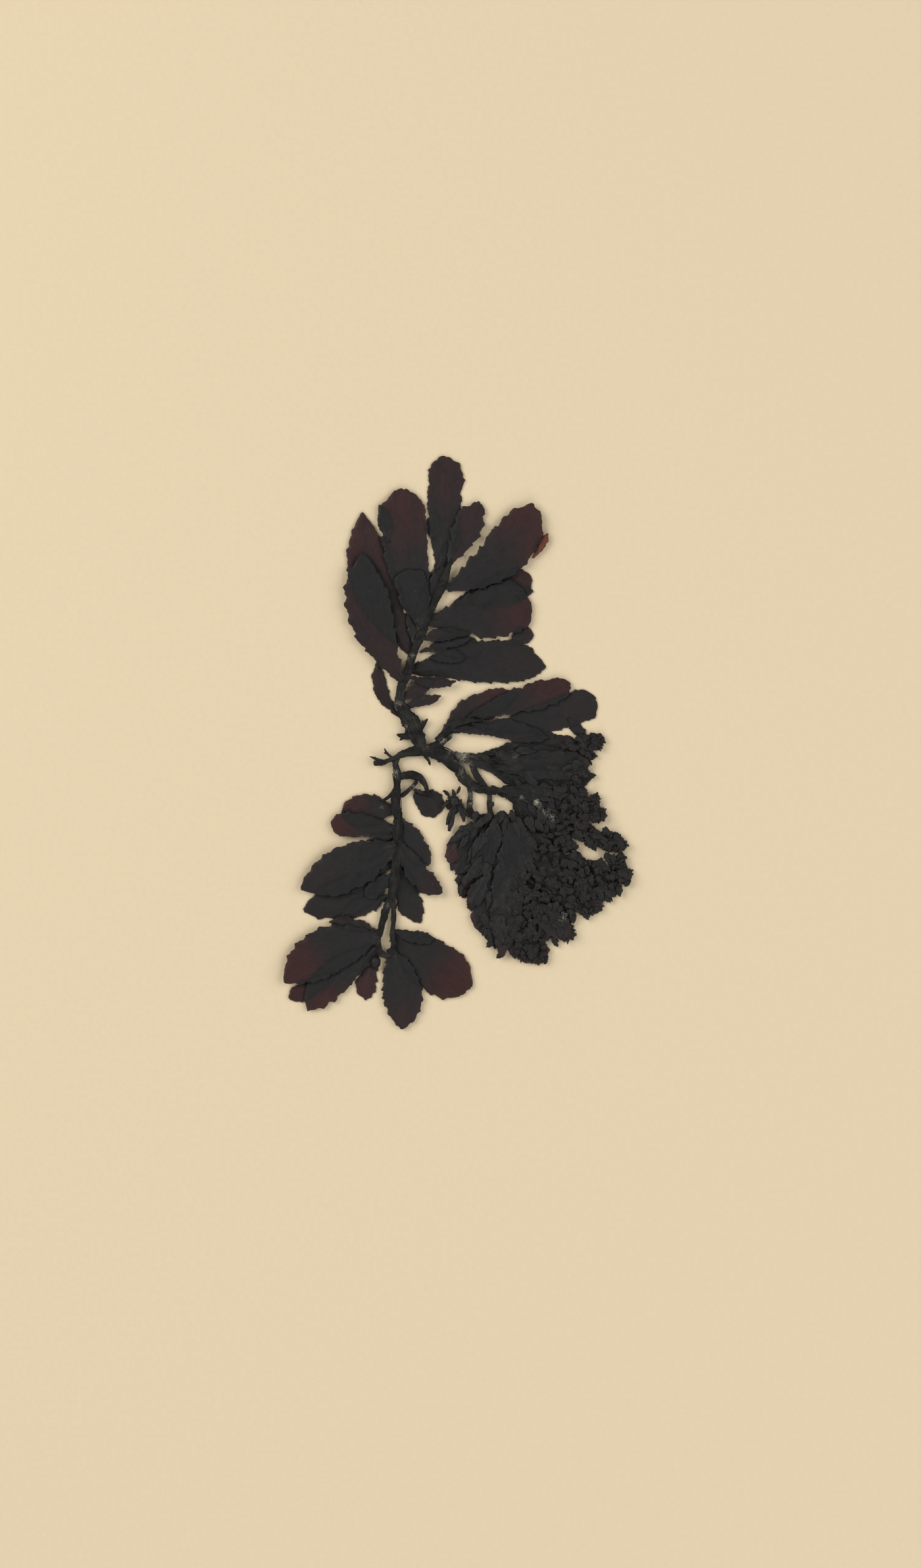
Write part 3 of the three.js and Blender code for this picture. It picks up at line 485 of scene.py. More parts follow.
def chord(leaf):
    """A leaf's length, its direction from base to tip and the direction to its left."""
    run = np.subtract(leaf.tip, leaf.base)
    length = float(np.hypot(*run))
    ahead = run / length
    return length, ahead, np.array((-ahead[1], ahead[0]))


def inside(leaf, x, y):
    """How far in mm a point lies inside a leaf's outline. It is negative outside."""
    length, ahead, side = chord(leaf)
    dx, dy = x - leaf.base[0], y - leaf.base[1]
    along = (dx * ahead[0] + dy * ahead[1]) / length
    held = np.clip(along, 0, 1)
    off = dx * side[0] + dy * side[1] - 4 * leaf.bend * held * (1 - held)
    half = np.where(off > 0, leaf.left, leaf.right) * spread(held, leaf.widest, leaf.blunt)
    return np.minimum(half - np.abs(off), np.minimum(along, 1 - along) * length)


def covered(leaf, x, y):
    """How much other leaves lie over or under a leaf at a point, and how near their edges are."""
    cover, edge = np.zeros(x.shape), np.zeros(x.shape)
    for other in (one for shoot in LEAVES.values() for one in shoot):
        if other is leaf:
            continue
        depth = inside(other, x, y)
        cover = np.maximum(cover, step(-0.1, 0.35, depth))
        # Nearness to another leaf's edge, which add_leaf paints as a dark line of shade
        edge = np.maximum(edge, np.exp(-(depth / EDGE_SHADE_WIDTH) ** 2))
    return cover, edge


def around(sides):
    """Angles at even steps round a full turn, as one row."""
    return np.linspace(0, 2 * np.pi, sides, endpoint=False)[None, :]


def columns(shape, parts):
    """One row for each point of a grid of that shape, with the parts as its columns."""
    return np.stack([np.broadcast_to(part, shape).ravel() for part in parts], axis=-1)


class Surface:
    """Points, faces and marks of one piece, gathered part by part."""

    def __init__(self):
        self.points, self.faces, self.count = [], [], 0
        self.marks = {"fibre": [], "wine": [], "margin": [], "rib": [], "tone": [], "crust": []}

    def add(self, place, faces, fibre, **marks):
        """Adds a part. place and fibre are three arrays or numbers each, and a mark is one."""
        shape = np.broadcast(*place).shape
        self.points.append(columns(shape, place))
        self.faces.extend((np.asarray(face) + self.count).tolist() for face in faces)
        for name, kept in self.marks.items():
            kept.append(columns(shape, fibre if name == "fibre" else [marks.get(name, 0)]))
        self.count += len(self.points[-1])

    def piece(self, name, node, slot, material):
        """Makes the object, hangs it on its body and lets it stand for its node."""
        mesh = bpy.data.meshes.new(name)
        mesh.from_pydata((np.concatenate(self.points) * MM).tolist(), [], self.faces)
        for mark, parts in self.marks.items():
            kind, field = ("FLOAT_VECTOR", "vector") if mark == "fibre" else ("FLOAT", "value")
            values = np.concatenate(parts).astype(np.float32).ravel()
            mesh.attributes.new(mark, kind, "POINT").data.foreach_set(field, values)
        mesh.polygons.foreach_set("use_smooth", [True] * len(mesh.polygons))
        mesh.materials.append(material)
        mesh.validate()
        made = bpy.data.objects.new(name, mesh)
        bpy.context.scene.collection.objects.link(made)
        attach(made, BODY)
        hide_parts(node)


def tube_faces(rings, sides):
    """Quads between rings of points, with one face over each end."""
    faces = []
    for ring in range(rings - 1):
        for side in range(sides):
            here, beside = ring * sides + side, ring * sides + (side + 1) % sides
            faces.append((here, beside, beside + sides, here + sides))
    last = (rings - 1) * sides
    faces.append(tuple(reversed(range(sides))))
    faces.append(tuple(range(last, last + sides)))
    return faces


def blade_faces(rows, cols):
    """Faces of a thin blade: its top, its underside and the wall round both."""
    count = (rows + 1) * cols
    faces = []
    for row in range(rows):
        for col in range(cols - 1):
            a = row * cols + col
            b, c, d = a + 1, a + cols + 1, a + cols
            faces.append((a, d, c, b))
            faces.append((count + a, count + b, count + c, count + d))
        for col, flip in ((0, False), (cols - 1, True)):
            a, d = row * cols + col, (row + 1) * cols + col
            wall = (a, count + a, count + d, d)
            faces.append(wall[::-1] if flip else wall)
    for row, flip in ((0, True), (rows, False)):
        for col in range(cols - 1):
            a = row * cols + col
            wall = (a, count + a, count + a + 1, a + 1)
            faces.append(wall[::-1] if flip else wall)
    return faces


def tooth_wave(phase, odd, seed):
    """Small teeth of uneven size that point forward, one at every odd or every even row."""
    first = TOOTH_LEAN + (1 if odd else 0)
    number = np.floor((phase - first) / 2)
    part = (phase - first) / 2 - number
    chance = 0.5 + 0.5 * patches(number * 1.7 + 0.5, 0.5, seed)
    size = TOOTH_LEAST + (1 - TOOTH_LEAST) * chance ** 1.5
    back = (part - TOOTH_FRONT) / (1 - TOOTH_FRONT)
    notch = np.where(part < TOOTH_FRONT, 1 - part / TOOTH_FRONT, back)
    return TOOTH_GAIN * size * (notch ** TOOTH_CURVE - TOOTH_LEVEL)


def add_leaf(surface, leaf, sizes, seed, rough):
    """A thin, toothed blade with a midrib, wrinkles, a ragged margin and its colour marks."""
    length, ahead, side = chord(leaf)
    rows = max(LEAST_ROWS, int(length / (sizes.row_step / MM)))
    lanes = np.array(LEAF_LANES)
    across = np.concatenate((-lanes[::-1], (0,), lanes))[None, :]
    along = np.linspace(0, 1, rows + 1)[:, None]
    run = along * length
    share = spread(along, leaf.widest, leaf.blunt)

    def margin_line(half_width, odd, lane):
        """Half-width along one margin, with large teeth, fine teeth and torn places."""
        teeth = leaf.tooth * tooth_wave(along * (2 * leaf.teeth + 1), odd, seed + lane)
        fine = FINE_TOOTH * tooth_wave(run * FINE_TEETH_PER_MM, odd, seed + 20 + lane)
        bends = np.abs(patches(run / BEND_SPAN, lane, seed + 13)) ** 0.7 - 0.5
        torn = TEAR * grain(run / TEAR_SPAN, lane, seed + 11, 4) + BEND_DEPTH * bends
        cut = (teeth + fine + torn) * np.minimum(1, 2 * share)
        return np.maximum(LEAST_HALF_WIDTH, share * half_width + cut)

    width = np.where(across > 0, margin_line(leaf.left, True, 0), margin_line(leaf.right, False, 7))
    off = across * width
    slope = 4 * leaf.bend * (1 - 2 * along) / length
    turn = np.sqrt(1 + slope ** 2)
    bow = 4 * leaf.bend * along * (1 - along)
    ragged = TIP_TEAR * grain(off / 1.3, 0.5, seed + 15) * step(0.86, 1, along)
    x, y = (leaf.base[axis] + ahead[axis] * (run + ragged) + side[axis] * bow
            + (side[axis] - slope * ahead[axis]) / turn * off for axis in (0, 1))
    inward = width - np.abs(off)
    floor = leaf.layer * sizes.layer_pitch / MM + rise(sizes, x, y)
    rib = np.exp(-(off / (0.3 + 0.35 * (1 - along))) ** 2) * (1 - along) ** 1.2
    # Folds, crumples and streaks are each so many mm wide and long
    folds = grain(off / 1.1, run / 6, seed)
    crumple = grain(off / 2.4, run / 2.2, seed + 3)
    body = np.minimum(1, inward / MARGIN_TAPER)
    lift = rough * sizes.wrinkle / MM * (folds + 1.2 * crumple) * body
    blade = sizes.blade_thickness / MM
    stalk = 1 + 3 * (1 - along) ** 7
    top = floor + blade * (0.58 + 0.3 * body) + sizes.rib_rise / MM * rib * stalk + lift
    low = floor + blade * (0.36 - 0.26 * body) + 0.4 * lift

    cover, edge = covered(leaf, x, y)
    single = 1 - cover
    streak = 0.5 + 0.5 * grain(off / 2.6, run / 12, seed + 5)
    wine = leaf.wine + (leaf.wine_tip - leaf.wine) * step(0.42, 0.95, along + 0.1 * streak)
    wine = np.clip(wine * (0.7 + 0.5 * streak), 0, WINE_MOST)
    frayed = 0.4 + 0.6 * grain(run / 2.5, 0, seed + 8)
    margin = np.exp(-inward / MARGIN_WIDTH) * single * frayed
    # Near the edges of other leaves the leaf is darkened as painted shade, a dark line where leaves
    # overlap
    tone = 0.5 + 0.08 * single + 0.1 * crumple + 0.08 * (rough - 1) * folds - 0.35 * edge
    tone = tone + 0.05 * patches(seed * 0.37, 0.5, 5)
    surface.add((x, y, np.stack((top, np.maximum(low, LEAF_GAP)))), blade_faces(rows, across.size),
                (off, run, seed), wine=wine * (COVERED_WINE + (1 - COVERED_WINE) * single),
                margin=np.clip(margin, 0, 1), rib=rib, tone=tone, crust=crust_at(x, y))


def smooth_route(path, spacing):
    """Points about every spacing along a smooth curve through a stem's points."""
    known = np.asarray(path, float)
    ends = np.concatenate((2 * known[:1] - known[1:2], known, 2 * known[-1:] - known[-2:-1]))
    route = []
    for i in range(1, len(ends) - 2):
        before, here, after, beyond = ends[i - 1], ends[i], ends[i + 1], ends[i + 2]
        pieces = max(2, int(np.hypot(*(after - here)[:2]) / spacing))
        for t in np.arange(pieces) / pieces:
            route.append(0.5 * (2 * here + (after - before) * t
                                + (2 * before - 5 * here + 4 * after - beyond) * t ** 2
                                + (3 * here - before - 3 * after + beyond) * t ** 3))
    route.append(known[-1])
    return np.array(route)


def headings(route):
    """The direction of a route at each of its points, seen from above."""
    ahead = np.gradient(route[:, :2], axis=0)
    return ahead / np.hypot(ahead[:, 0], ahead[:, 1])[:, None]


def beside(route, ahead, out):
    """The x and y of places that lie out to the left of each point of a route."""
    return route[:, 0:1] - ahead[:, 1:2] * out, route[:, 1:2] + ahead[:, 0:1] * out


def middle(stem, sizes, x, y, low):
    """Height of a stem's middle at a place. The whole stem lies lower by low."""
    return stem.lift + stem.wave * rise(sizes, x, y) + stem.height / 2 - low


def add_stem(surface, stem, sizes, seed, low):
    """A flattened, fibrous stem with fine ridges along it and rough, closed ends."""
    route = smooth_route(stem.path, sizes.row_step / MM)
    steps = np.hypot(*np.diff(route[:, :2], axis=0).T)
    run = np.concatenate(((0,), np.cumsum(steps)))[:, None]
    turn = around(STEM_SIDES)
    ends = np.minimum(1, np.minimum(run, run[-1] - run) / STEM_END + 0.35) ** 0.5
    flutes = np.cos(FLUTES * turn + 0.1 * run + 3 * patches(run / 6, 0, seed))
    ridges = grain(turn * 6, run / 3, seed + 2, 4)
    knots = KNOT * grain(run / 1.7, turn * 0.8, seed + 4)
    radius = (0.92 + sizes.flute * flutes + 2.2 * sizes.flute * ridges + knots) * ends
    flat = np.sign(np.cos(turn)) * np.abs(np.cos(turn)) ** STEM_SQUARENESS
    half = sizes.stem_width * route[:, 2:3] / 2
    ragged = STEM_TEAR * grain(run / 0.8, 0.6 * np.sign(np.cos(turn)), seed + 6)
    x, y = beside(route, headings(route), flat * half * (radius + ragged))
    z = middle(stem, sizes, route[:, 0:1], route[:, 1:2], low)
    z = z + np.sin(turn) * (stem.height * sizes.stem_flat) / 2 * radius
    surface.add((x, y, np.maximum(z, LEAF_GAP)), tube_faces(len(route), STEM_SIDES),
                (turn * half, run, seed), tone=0.5 + 0.15 * flutes + 0.35 * ridges,
                crust=crust_at(x, y))


def add_strands(surface, stem, sizes, seed, low):
    """Loose fibres that wander along the top of a stem."""
    route = smooth_route(stem.path, STRAND_STEP)[2:-2]
    if len(route) < LEAST_STRAND_POINTS:
        return
    ahead = headings(route)
    run = np.arange(len(route)) * STRAND_STEP
    count = int(2 + route[:, 2].max())
    turn = around(STRAND_SIDES)
    for strand in range(count):
        wander = 0.46 * patches(run / 7, 3.5 * strand, seed + strand)
        out = (wander + 0.5 * (strand + 0.5) / count - 0.25) * route[:, 2] * sizes.stem_width
        bulge = np.sqrt(np.maximum(0.1, 1 - (2 * out / route[:, 2]) ** 2))
        up = (middle(stem, sizes, route[:, 0], route[:, 1], low)
              + 0.45 * stem.height * sizes.stem_flat * bulge)
        thick = STRAND_RADIUS + 0.06 * patches(run / 2, 0, seed + 5 + strand)
        side_out = out[:, None] + thick[:, None] * np.cos(turn)
        x, y = beside(route, ahead, side_out)
        surface.add((x, y, up[:, None] + thick[:, None] * np.sin(turn)),
                    tube_faces(len(route), STRAND_SIDES), (side_out * 3, run[:, None], seed),
                    tone=0.7, crust=crust_at(x, y))


def add_spurs(surface, stem, sizes, seed, low):
    """Short broken stalks that stand out from both sides of a stem."""
    random = np.random.RandomState(seed)
    route = smooth_route(stem.path, SPUR_STEP)
    ahead = np.gradient(route[:, :2], axis=0)
    for place in range(2, len(route) - 2, SPUR_EVERY):
        x, y, width = route[place]
        turned = math.atan2(ahead[place][1], ahead[place][0])
        angle = turned + random.choice((-1, 1)) * random.uniform(0.5, 1.1)
        length = SPUR_LENGTH + width * random.uniform(0.25, 0.6)
        end_x, end_y = x + length * math.cos(angle), y + length * math.sin(angle)
        thick = random.uniform(0.4, 1.1)
        path = [(x, y, thick * 1.3), ((x + end_x) / 2, (y + end_y) / 2, thick),
                (end_x, end_y, 0.5 * thick)]
        spur = Stem(path, stem.lift + 0.3 * stem.height, 0.45 * stem.height, stem.wave)
        add_stem(surface, spur, sizes, seed + place, low)


def add_spindle(surface, spindle, tilt, seed):
    """A warty receptacle: a small spindle that narrows to both ends."""
    along = np.linspace(0, 1, SPINDLE_RINGS)[:, None]
    turn = around(SPINDLE_SIDES)
    run = along * spindle.length
    warts = 1 + WART * patches(turn * 1.6 + 3, along * spindle.length * 1.7, seed)
    radius = spindle.width / 2 * (0.25 + 0.75 * np.sin(np.pi * (0.1 + 0.82 * along)) ** 0.8) * warts
    bow = 0.18 * np.sin(np.pi * along) * patches(seed * 0.7, 0.3, 9)
    ahead, across = math.cos(spindle.angle), math.sin(spindle.angle)
    side_out = np.cos(turn) * radius + bow * spindle.length
    x = spindle.x + ahead * along * spindle.length - across * side_out
    y = spindle.y + across * along * spindle.length + ahead * side_out
    z = spindle.z + tilt * along * spindle.length + np.sin(turn) * radius
    margin = step(0.55, 1, along) * (0.5 + 0.5 * patches(x, y, seed))
    surface.add((x, y, np.maximum(z, SPINDLE_GAP)), tube_faces(SPINDLE_RINGS, SPINDLE_SIDES),
                (turn * spindle.width / 2, run, seed), margin=np.clip(margin, 0, 1),
                tone=0.5 + 0.35 * (warts - 1) / WART)


def add_mound(surface, cluster, ground, seed):
    """A low, crinkled mound with a jagged outline, under the receptacles of a cluster."""
    turn = around(MOUND_SIDES)
    out = np.linspace(1, 0.02, MOUND_RINGS)[:, None]
    jag = 0.9 + 0.14 * patches(turn * 4.2, 0, seed) + 0.1 * patches(turn * 9, 0, seed + 1)
    reach = cluster.radius * jag * out
    x = cluster.x + reach * np.cos(turn)
    y = cluster.y + reach * np.sin(turn)
    crinkle = grain(x * 1.5, y * 1.5, seed + 2)
    z = ground + MOUND_HEIGHT * (1 - out ** 2) ** 0.5 * (0.78 + 0.3 * crinkle)
    z[0] = ground + MOUND_WALL
    foot = (cluster.x + MOUND_FOOT * (x[:1] - cluster.x),
            cluster.y + MOUND_FOOT * (y[:1] - cluster.y), 0 * z[:1] + ground)
    place = [np.concatenate(rings) for rings in zip(foot, (x, y, z))]
    crinkle, out = (np.concatenate((rings[:1], rings)) for rings in (crinkle, out))
    surface.add(place, tube_faces(MOUND_RINGS + 1, MOUND_SIDES), place,
                margin=np.clip(0.7 * out ** 4, 0, 1), tone=0.5 + 0.35 * crinkle)


def add_cluster(surface, cluster, sizes, seed):
    """A crinkled mound, and receptacles that lie over it."""
    ground = CLUSTER_LIFT + rise(sizes, cluster.x, cluster.y)
    add_mound(surface, cluster, ground, seed)
    random = np.random.RandomState(seed)
    for one in range(int(2 * cluster.radius)):
        angle = random.uniform(0, 2 * math.pi)
        start = cluster.radius * (0.05 + 0.62 * math.sqrt(random.uniform(0, 1)))
        lean = angle + random.uniform(-0.9, 0.9)
        length = sizes.receptacle_length / MM * random.uniform(0.55, 1.1)
        length = min(length, cluster.radius * 1.12 - start + 0.5)
        height = ground + 1.45 * math.sqrt(max(0.05, 1 - (start / cluster.radius) ** 2)) + 0.2
        spindle = Spindle(cluster.x + start * math.cos(angle), cluster.y + start * math.sin(angle),
                          height, lean, length, random.uniform(0.55, 0.95))
        add_spindle(surface, spindle, -0.3 * random.uniform(0, 1), seed + 13 * one)


def frilly(x, y):
    """How crinkled the fertile branch is at a point: most at its lower right side."""
    right = step(-9, 1, x - FRILL_X - FRILL_SLANT * (y - FRILL_Y))
    return np.maximum(right, 0.35 * step(-40, -54, y))


def add_flake(surface, place, heading, length, width, crinkled, seed):
    """A ragged flake that lies flat, with ridges along it and a finely torn outline."""
    turn = around(FLAKE_SIDES)
    out = np.array(FLAKE_RINGS)[:, None]
    round_x, round_y = np.cos(turn), np.sin(turn)
    lobes = patches(round_x * 1.3 + 0.5, round_y * 1.3, seed)
    torn = patches(round_x * 4 + 0.5, round_y * 4, seed + 1)
    fine = patches(round_x * 9 + 0.5, round_y * 9, seed + 2)
    jag = 0.86 + 0.16 * lobes + 0.16 * torn + 0.14 * fine
    px = length / 2 * jag * out * round_x
    py = width / 2 * jag * out * round_y * (1 - 0.3 * round_x)
    py = py + 0.12 * width * patches(px / 2.5, 0, seed + 7)
    ridges = grain(px / 3.2, py * 2.2, seed + 3)
    crumple = grain(px * 1.4, py * 1.4, seed + 5)
    lift = 0.16 * ridges + 0.34 * crinkled * crumple + 0.1 * width * (1 - out ** 2)
    ahead, across = math.cos(heading), math.sin(heading)
    x, y = place[0] + px * ahead - py * across, place[1] + px * across + py * ahead
    z = place[2] + lift
    z[0] = z[1] - 0.08 - 0.14 * crinkled
    surface.add((x, y, np.maximum(z, FLAKE_GAP)), tube_faces(len(out), FLAKE_SIDES),
                (py, px, seed), tone=0.45 + 0.3 * ridges + 0.2 * crumple,
                margin=0.8 * crinkled * out ** 9 * (0.5 + 0.5 * torn), crust=crust_at(x, y))


def within(node, x, y):
    """How far in mm a point lies inside a fertile node, and inside one of its clusters."""
    in_leaf = max(float(inside(leaf, x, y)) for leaf in LEAVES[node])
    in_cluster = max(one.radius - math.hypot(x - one.x, y - one.y) for one in CLUSTERS[node])
    return max(in_leaf, in_cluster), in_cluster


def fitted_length(node, x, y, heading, length):
    """The length of a flake, cut until its tip no longer lies outside the node."""
    while length > SHORTEST_FLAKE:
        tip_x, tip_y = x + 0.5 * length * math.cos(heading), y + 0.5 * length * math.sin(heading)
        if within(node, tip_x, tip_y)[0] > -FLAKE_OVERHANG:
            break
        length *= 0.85
    return length


def add_flakes(surface, node, sizes, seed):
    """Flakes all over a fertile node. They fan out from its foot."""
    random = np.random.RandomState(seed)
    foot = FOOT[node]
    for number, (x, y, height, radius) in enumerate(FLAKE_SPOTS[node]):
        heading = math.atan2(y - foot[1], x - foot[0]) + random.uniform(-0.7, 0.7)
        add_flake(surface, (x, y, height + rise(sizes, x, y)), heading, 2.3 * radius,
                  1.5 * radius, 0.8, seed + 7 * number)
    if node not in LEAVES:
        return
    corners = np.array(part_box(node)) / MM
    pitch = sizes.flake_pitch / MM
    for gx in np.arange(corners[0][0], corners[1][0], pitch):
        for gy in np.arange(corners[0][1], corners[1][1], pitch):
            x, y = gx + random.uniform(-0.5, 0.5) * pitch, gy + random.uniform(-0.5, 0.5) * pitch
            level, turned, size, slim = random.uniform(0, 1, 4)
            depth, in_cluster = within(node, x, y)
            crinkled = max(float(frilly(x, y)), step(0.1, 1.2, in_cluster))
            if depth < FLAKE_INSET or level > FLAT_SHARE + CRINKLED_SHARE * crinkled:
                continue
            heading = math.atan2(y - foot[1], x - foot[0]) + (turned - 0.5) * (0.7 + 1.5 * crinkled)
            length = (FLAKE_LENGTH + LENGTH_RANGE * size) * (1 - CRINKLED_LOSS * crinkled)
            length = fitted_length(node, x, y, heading, length)
            width = (0.26 + 0.18 * slim + 0.28 * crinkled) * max(length, 2.6)
            z = rise(sizes, x, y) + FLAKE_LOW + FLAKE_CLIMB * min(1, depth / CLIMB_SPAN)
            z = z + 0.4 * crinkled * level
            add_flake(surface, (x, y, z), heading, length, width, crinkled,
                      seed + int(997 * level) + int(311 * size))


def add_bladder(surface, seed):
    """The small air bladder, slightly wrinkled from drying."""
    x, y, z = BLADDER_PLACE
    along = np.linspace(-1, 1, BLADDER_RINGS)[:, None]
    turn = around(BLADDER_SIDES)
    wrinkles = 1 + 0.05 * patches(turn * 2, along * 3, seed)
    radius = BLADDER_WIDTH / 2 * np.sqrt(np.maximum(0.05, 1 - along ** 2 * 0.93)) * wrinkles
    ahead, across = math.cos(BLADDER_ANGLE), math.sin(BLADDER_ANGLE)
    side_out = np.cos(turn) * radius
    place = (x + ahead * along * BLADDER_LENGTH / 2 - across * side_out,
             y + across * along * BLADDER_LENGTH / 2 + ahead * side_out,
             z + np.sin(turn) * radius)
    surface.add(place, tube_faces(BLADDER_RINGS, BLADDER_SIDES), place, tone=0.5, wine=0.25)


class Finish:
    """A material whose nodes are added in reading order."""

    def __init__(self, name, specular):
        self.material = bpy.data.materials.new(name)
        self.material.use_nodes = True
        self.tree = self.material.node_tree
        self.shader = self.tree.nodes["Principled BSDF"]
        self.shader.inputs["Specular IOR Level"].default_value = specular
        self.place = self.tree.nodes.new("ShaderNodeTexCoord").outputs["Object"]

    def feed(self, socket, value):
        """Links a socket, or sets it to a number, a vector or a colour."""
        if isinstance(value, bpy.types.NodeSocket):
            self.tree.links.new(value, socket)
        else:
            socket.default_value = (*value, 1.0) if socket.type == "RGBA" else value

    def mark(self, name, output="Fac"):
        """One of the marks that the mesh carries."""
        node = self.tree.nodes.new("ShaderNodeAttribute")
        node.attribute_name = name
        return node.outputs[output]

    def noise(self, place, stretch, detail, roughness):
        """Noise that is stretched by three numbers, with one patch to a unit where they are 1."""
        scale = self.tree.nodes.new("ShaderNodeVectorMath")
        scale.operation = "MULTIPLY"
        self.feed(scale.inputs[0], place)
        scale.inputs[1].default_value = stretch
        node = self.tree.nodes.new("ShaderNodeTexNoise")
        self.feed(node.inputs["Vector"], scale.outputs[0])
        node.inputs["Scale"].default_value = 1
        node.inputs["Detail"].default_value = detail
        node.inputs["Roughness"].default_value = roughness
        return node.outputs["Fac"]

    def grains(self, per_metre, detail, roughness):
        """Even noise over the plant, with about that many patches to the metre."""
        return self.noise(self.place, (per_metre, per_metre, per_metre), detail, roughness)

    def between(self, value, low, high, to_low=0.0, to_high=1.0):
        """Maps low..high to to_low..to_high, and holds it there beyond both ends."""
        node = self.tree.nodes.new("ShaderNodeMapRange")
        node.interpolation_type = "SMOOTHSTEP"
        self.feed(node.inputs["Value"], value)
        for name, number in zip(("From Min", "From Max", "To Min", "To Max"),
                                (low, high, to_low, to_high)):
            node.inputs[name].default_value = number
        return node.outputs["Result"]

    def maths(self, operation, first, second):
        node = self.tree.nodes.new("ShaderNodeMath")
        node.operation = operation
        self.feed(node.inputs[0], first)
        self.feed(node.inputs[1], second)
        return node.outputs[0]

    def mix(self, share, first, second):
        node = self.tree.nodes.new("ShaderNodeMix")
        node.data_type = "RGBA"
        self.feed(node.inputs["Factor"], share)
        self.feed(node.inputs["A"], first)
        self.feed(node.inputs["B"], second)
        return node.outputs["Result"]

    def brighten(self, colour, amount):
        """Multiplies a colour by a number that varies over the surface."""
        node = self.tree.nodes.new("ShaderNodeVectorMath")
        node.operation = "SCALE"
        self.feed(node.inputs[0], colour)
        self.feed(node.inputs["Scale"], amount)
        return node.outputs[0]

    def crusted(self, colour, crust):
        """Lays pale grains over a colour where the mesh is marked with crust."""
        grains = self.grains(4600, 3, 0.7)
        salt = self.maths("ADD", self.mark("crust"), self.between(grains, 0.35, 0.65, -0.6, 0.6))
        return self.mix(self.between(salt, 0.6, 0.9, 0, 0.85), colour, crust)

    def relief(self, height, depth, strength):
        node = self.tree.nodes.new("ShaderNodeBump")
        node.inputs["Distance"].default_value = depth
        node.inputs["Strength"].default_value = strength
        self.feed(node.inputs["Height"], height)
        self.feed(self.shader.inputs["Normal"], node.outputs["Normal"])

    def done(self, colour, roughness):
        self.feed(self.shader.inputs["Base Color"], colour)
        self.feed(self.shader.inputs["Roughness"], roughness)
        return self.material


def leaf_finish(colours):
    """Dark leaf, wine-brown where it lies alone, with fibres, a rusty margin and pale specks."""
    leaf = Finish("dried_leaf", 0.28)
    fibre = leaf.mark("fibre", "Vector")
    threads = leaf.noise(fibre, (5.5, 0.5, 3.1), 4, 0.6)
    streaks = leaf.noise(fibre, (1.5, 0.14, 1.7), 3, 0.5)
    blotches = leaf.grains(330, 4, 0.6)
    fine = leaf.grains(2600, 3, 0.6)
    wine = leaf.maths("MULTIPLY", leaf.mark("wine"), leaf.between(streaks, 0.3, 0.7, 0.85, 1.12))
    colour = leaf.mix(leaf.between(wine, 0, 1), colours.leaf, colours.wine)
    colour = leaf.mix(leaf.between(wine, 1.2, 1.65), colour, colours.rust)
    colour = leaf.mix(leaf.between(blotches, 0.5, 0.75, 0, 0.4), colour, colours.leaf_brown)
    rim = leaf.maths("MULTIPLY", leaf.mark("margin"), leaf.between(fine, 0.35, 0.6, 0.45, 1))
    colour = leaf.mix(rim, colour, colours.margin)
    # The mark read here carries a leaf's own tone and the painted shade along other leaves' edges
    shade = leaf.maths("MULTIPLY", leaf.between(threads, 0.3, 0.7, 0.78, 1.26),
                       leaf.between(leaf.mark("tone"), 0, 1, 0.5, 1.6))
    colour = leaf.brighten(colour, shade)
    speck = leaf.grains(1700, 2, 0.5)
    colour = leaf.mix(leaf.between(speck, 0.76, 0.82, 0, 0.3), colour, colours.crust)
    colour = leaf.crusted(colour, colours.crust)
    height = leaf.maths("ADD", threads, leaf.maths("MULTIPLY", fine, 0.5))
    leaf.relief(height, 0.00012, 0.55)
    return leaf.done(colour, leaf.between(blotches, 0.3, 0.7, 0.42, 0.66))


def stem_finish(colours):
    """Fibrous grey-black stem with lighter ridges and patches of pale crust."""
    stem = Finish("fibrous_stem", 0.25)
    fibre = stem.mark("fibre", "Vector")
    strands = stem.noise(fibre, (7, 0.35, 2.3), 5, 0.62)
    blotches = stem.grains(260, 4, 0.6)
    grit = stem.grains(2200, 3, 0.65)
    colour = stem.mix(stem.between(blotches, 0.42, 0.66), colours.stem, colours.stem_light)
    shade = stem.maths("MULTIPLY", stem.between(strands, 0.3, 0.7, 0.55, 1.6),
                       stem.between(stem.mark("tone"), 0, 1, 0.55, 1.5))
    colour = stem.brighten(colour, shade)
    colour = stem.crusted(colour, colours.crust)
    height = stem.maths("ADD", strands, stem.maths("MULTIPLY", grit, 0.4))
    stem.relief(height, 0.0004, 0.9)
    return stem.done(colour, stem.between(strands, 0.3, 0.7, 0.55, 0.8))


def receptacle_finish(colours):
    """Crinkled, nearly black receptacles with rusty tips and small dull highlights."""
    fruit = Finish("crinkled_receptacle", 0.3)
    threads = fruit.noise(fruit.mark("fibre", "Vector"), (5, 0.7, 1.3), 4, 0.6)
    crinkle = fruit.grains(900, 4, 0.6)
    fine = fruit.grains(2800, 3, 0.6)
    rust = fruit.maths("MULTIPLY", fruit.mark("margin"), fruit.between(crinkle, 0.4, 0.62))
    colour = fruit.mix(rust, colours.receptacle, colours.fringe)
    shade = fruit.maths("MULTIPLY", fruit.between(fine, 0.3, 0.7, 0.7, 1.4),
                        fruit.between(fruit.mark("tone"), 0, 1, 0.45, 1.7))
    shade = fruit.maths("MULTIPLY", shade, fruit.between(threads, 0.3, 0.7, 0.75, 1.3))
    colour = fruit.crusted(fruit.brighten(colour, shade), colours.crust)
    fruit.relief(fruit.maths("ADD", threads, fruit.maths("MULTIPLY", fine, 0.6)), 0.0002, 0.7)
    return fruit.done(colour, fruit.between(crinkle, 0.3, 0.7, 0.42, 0.7))


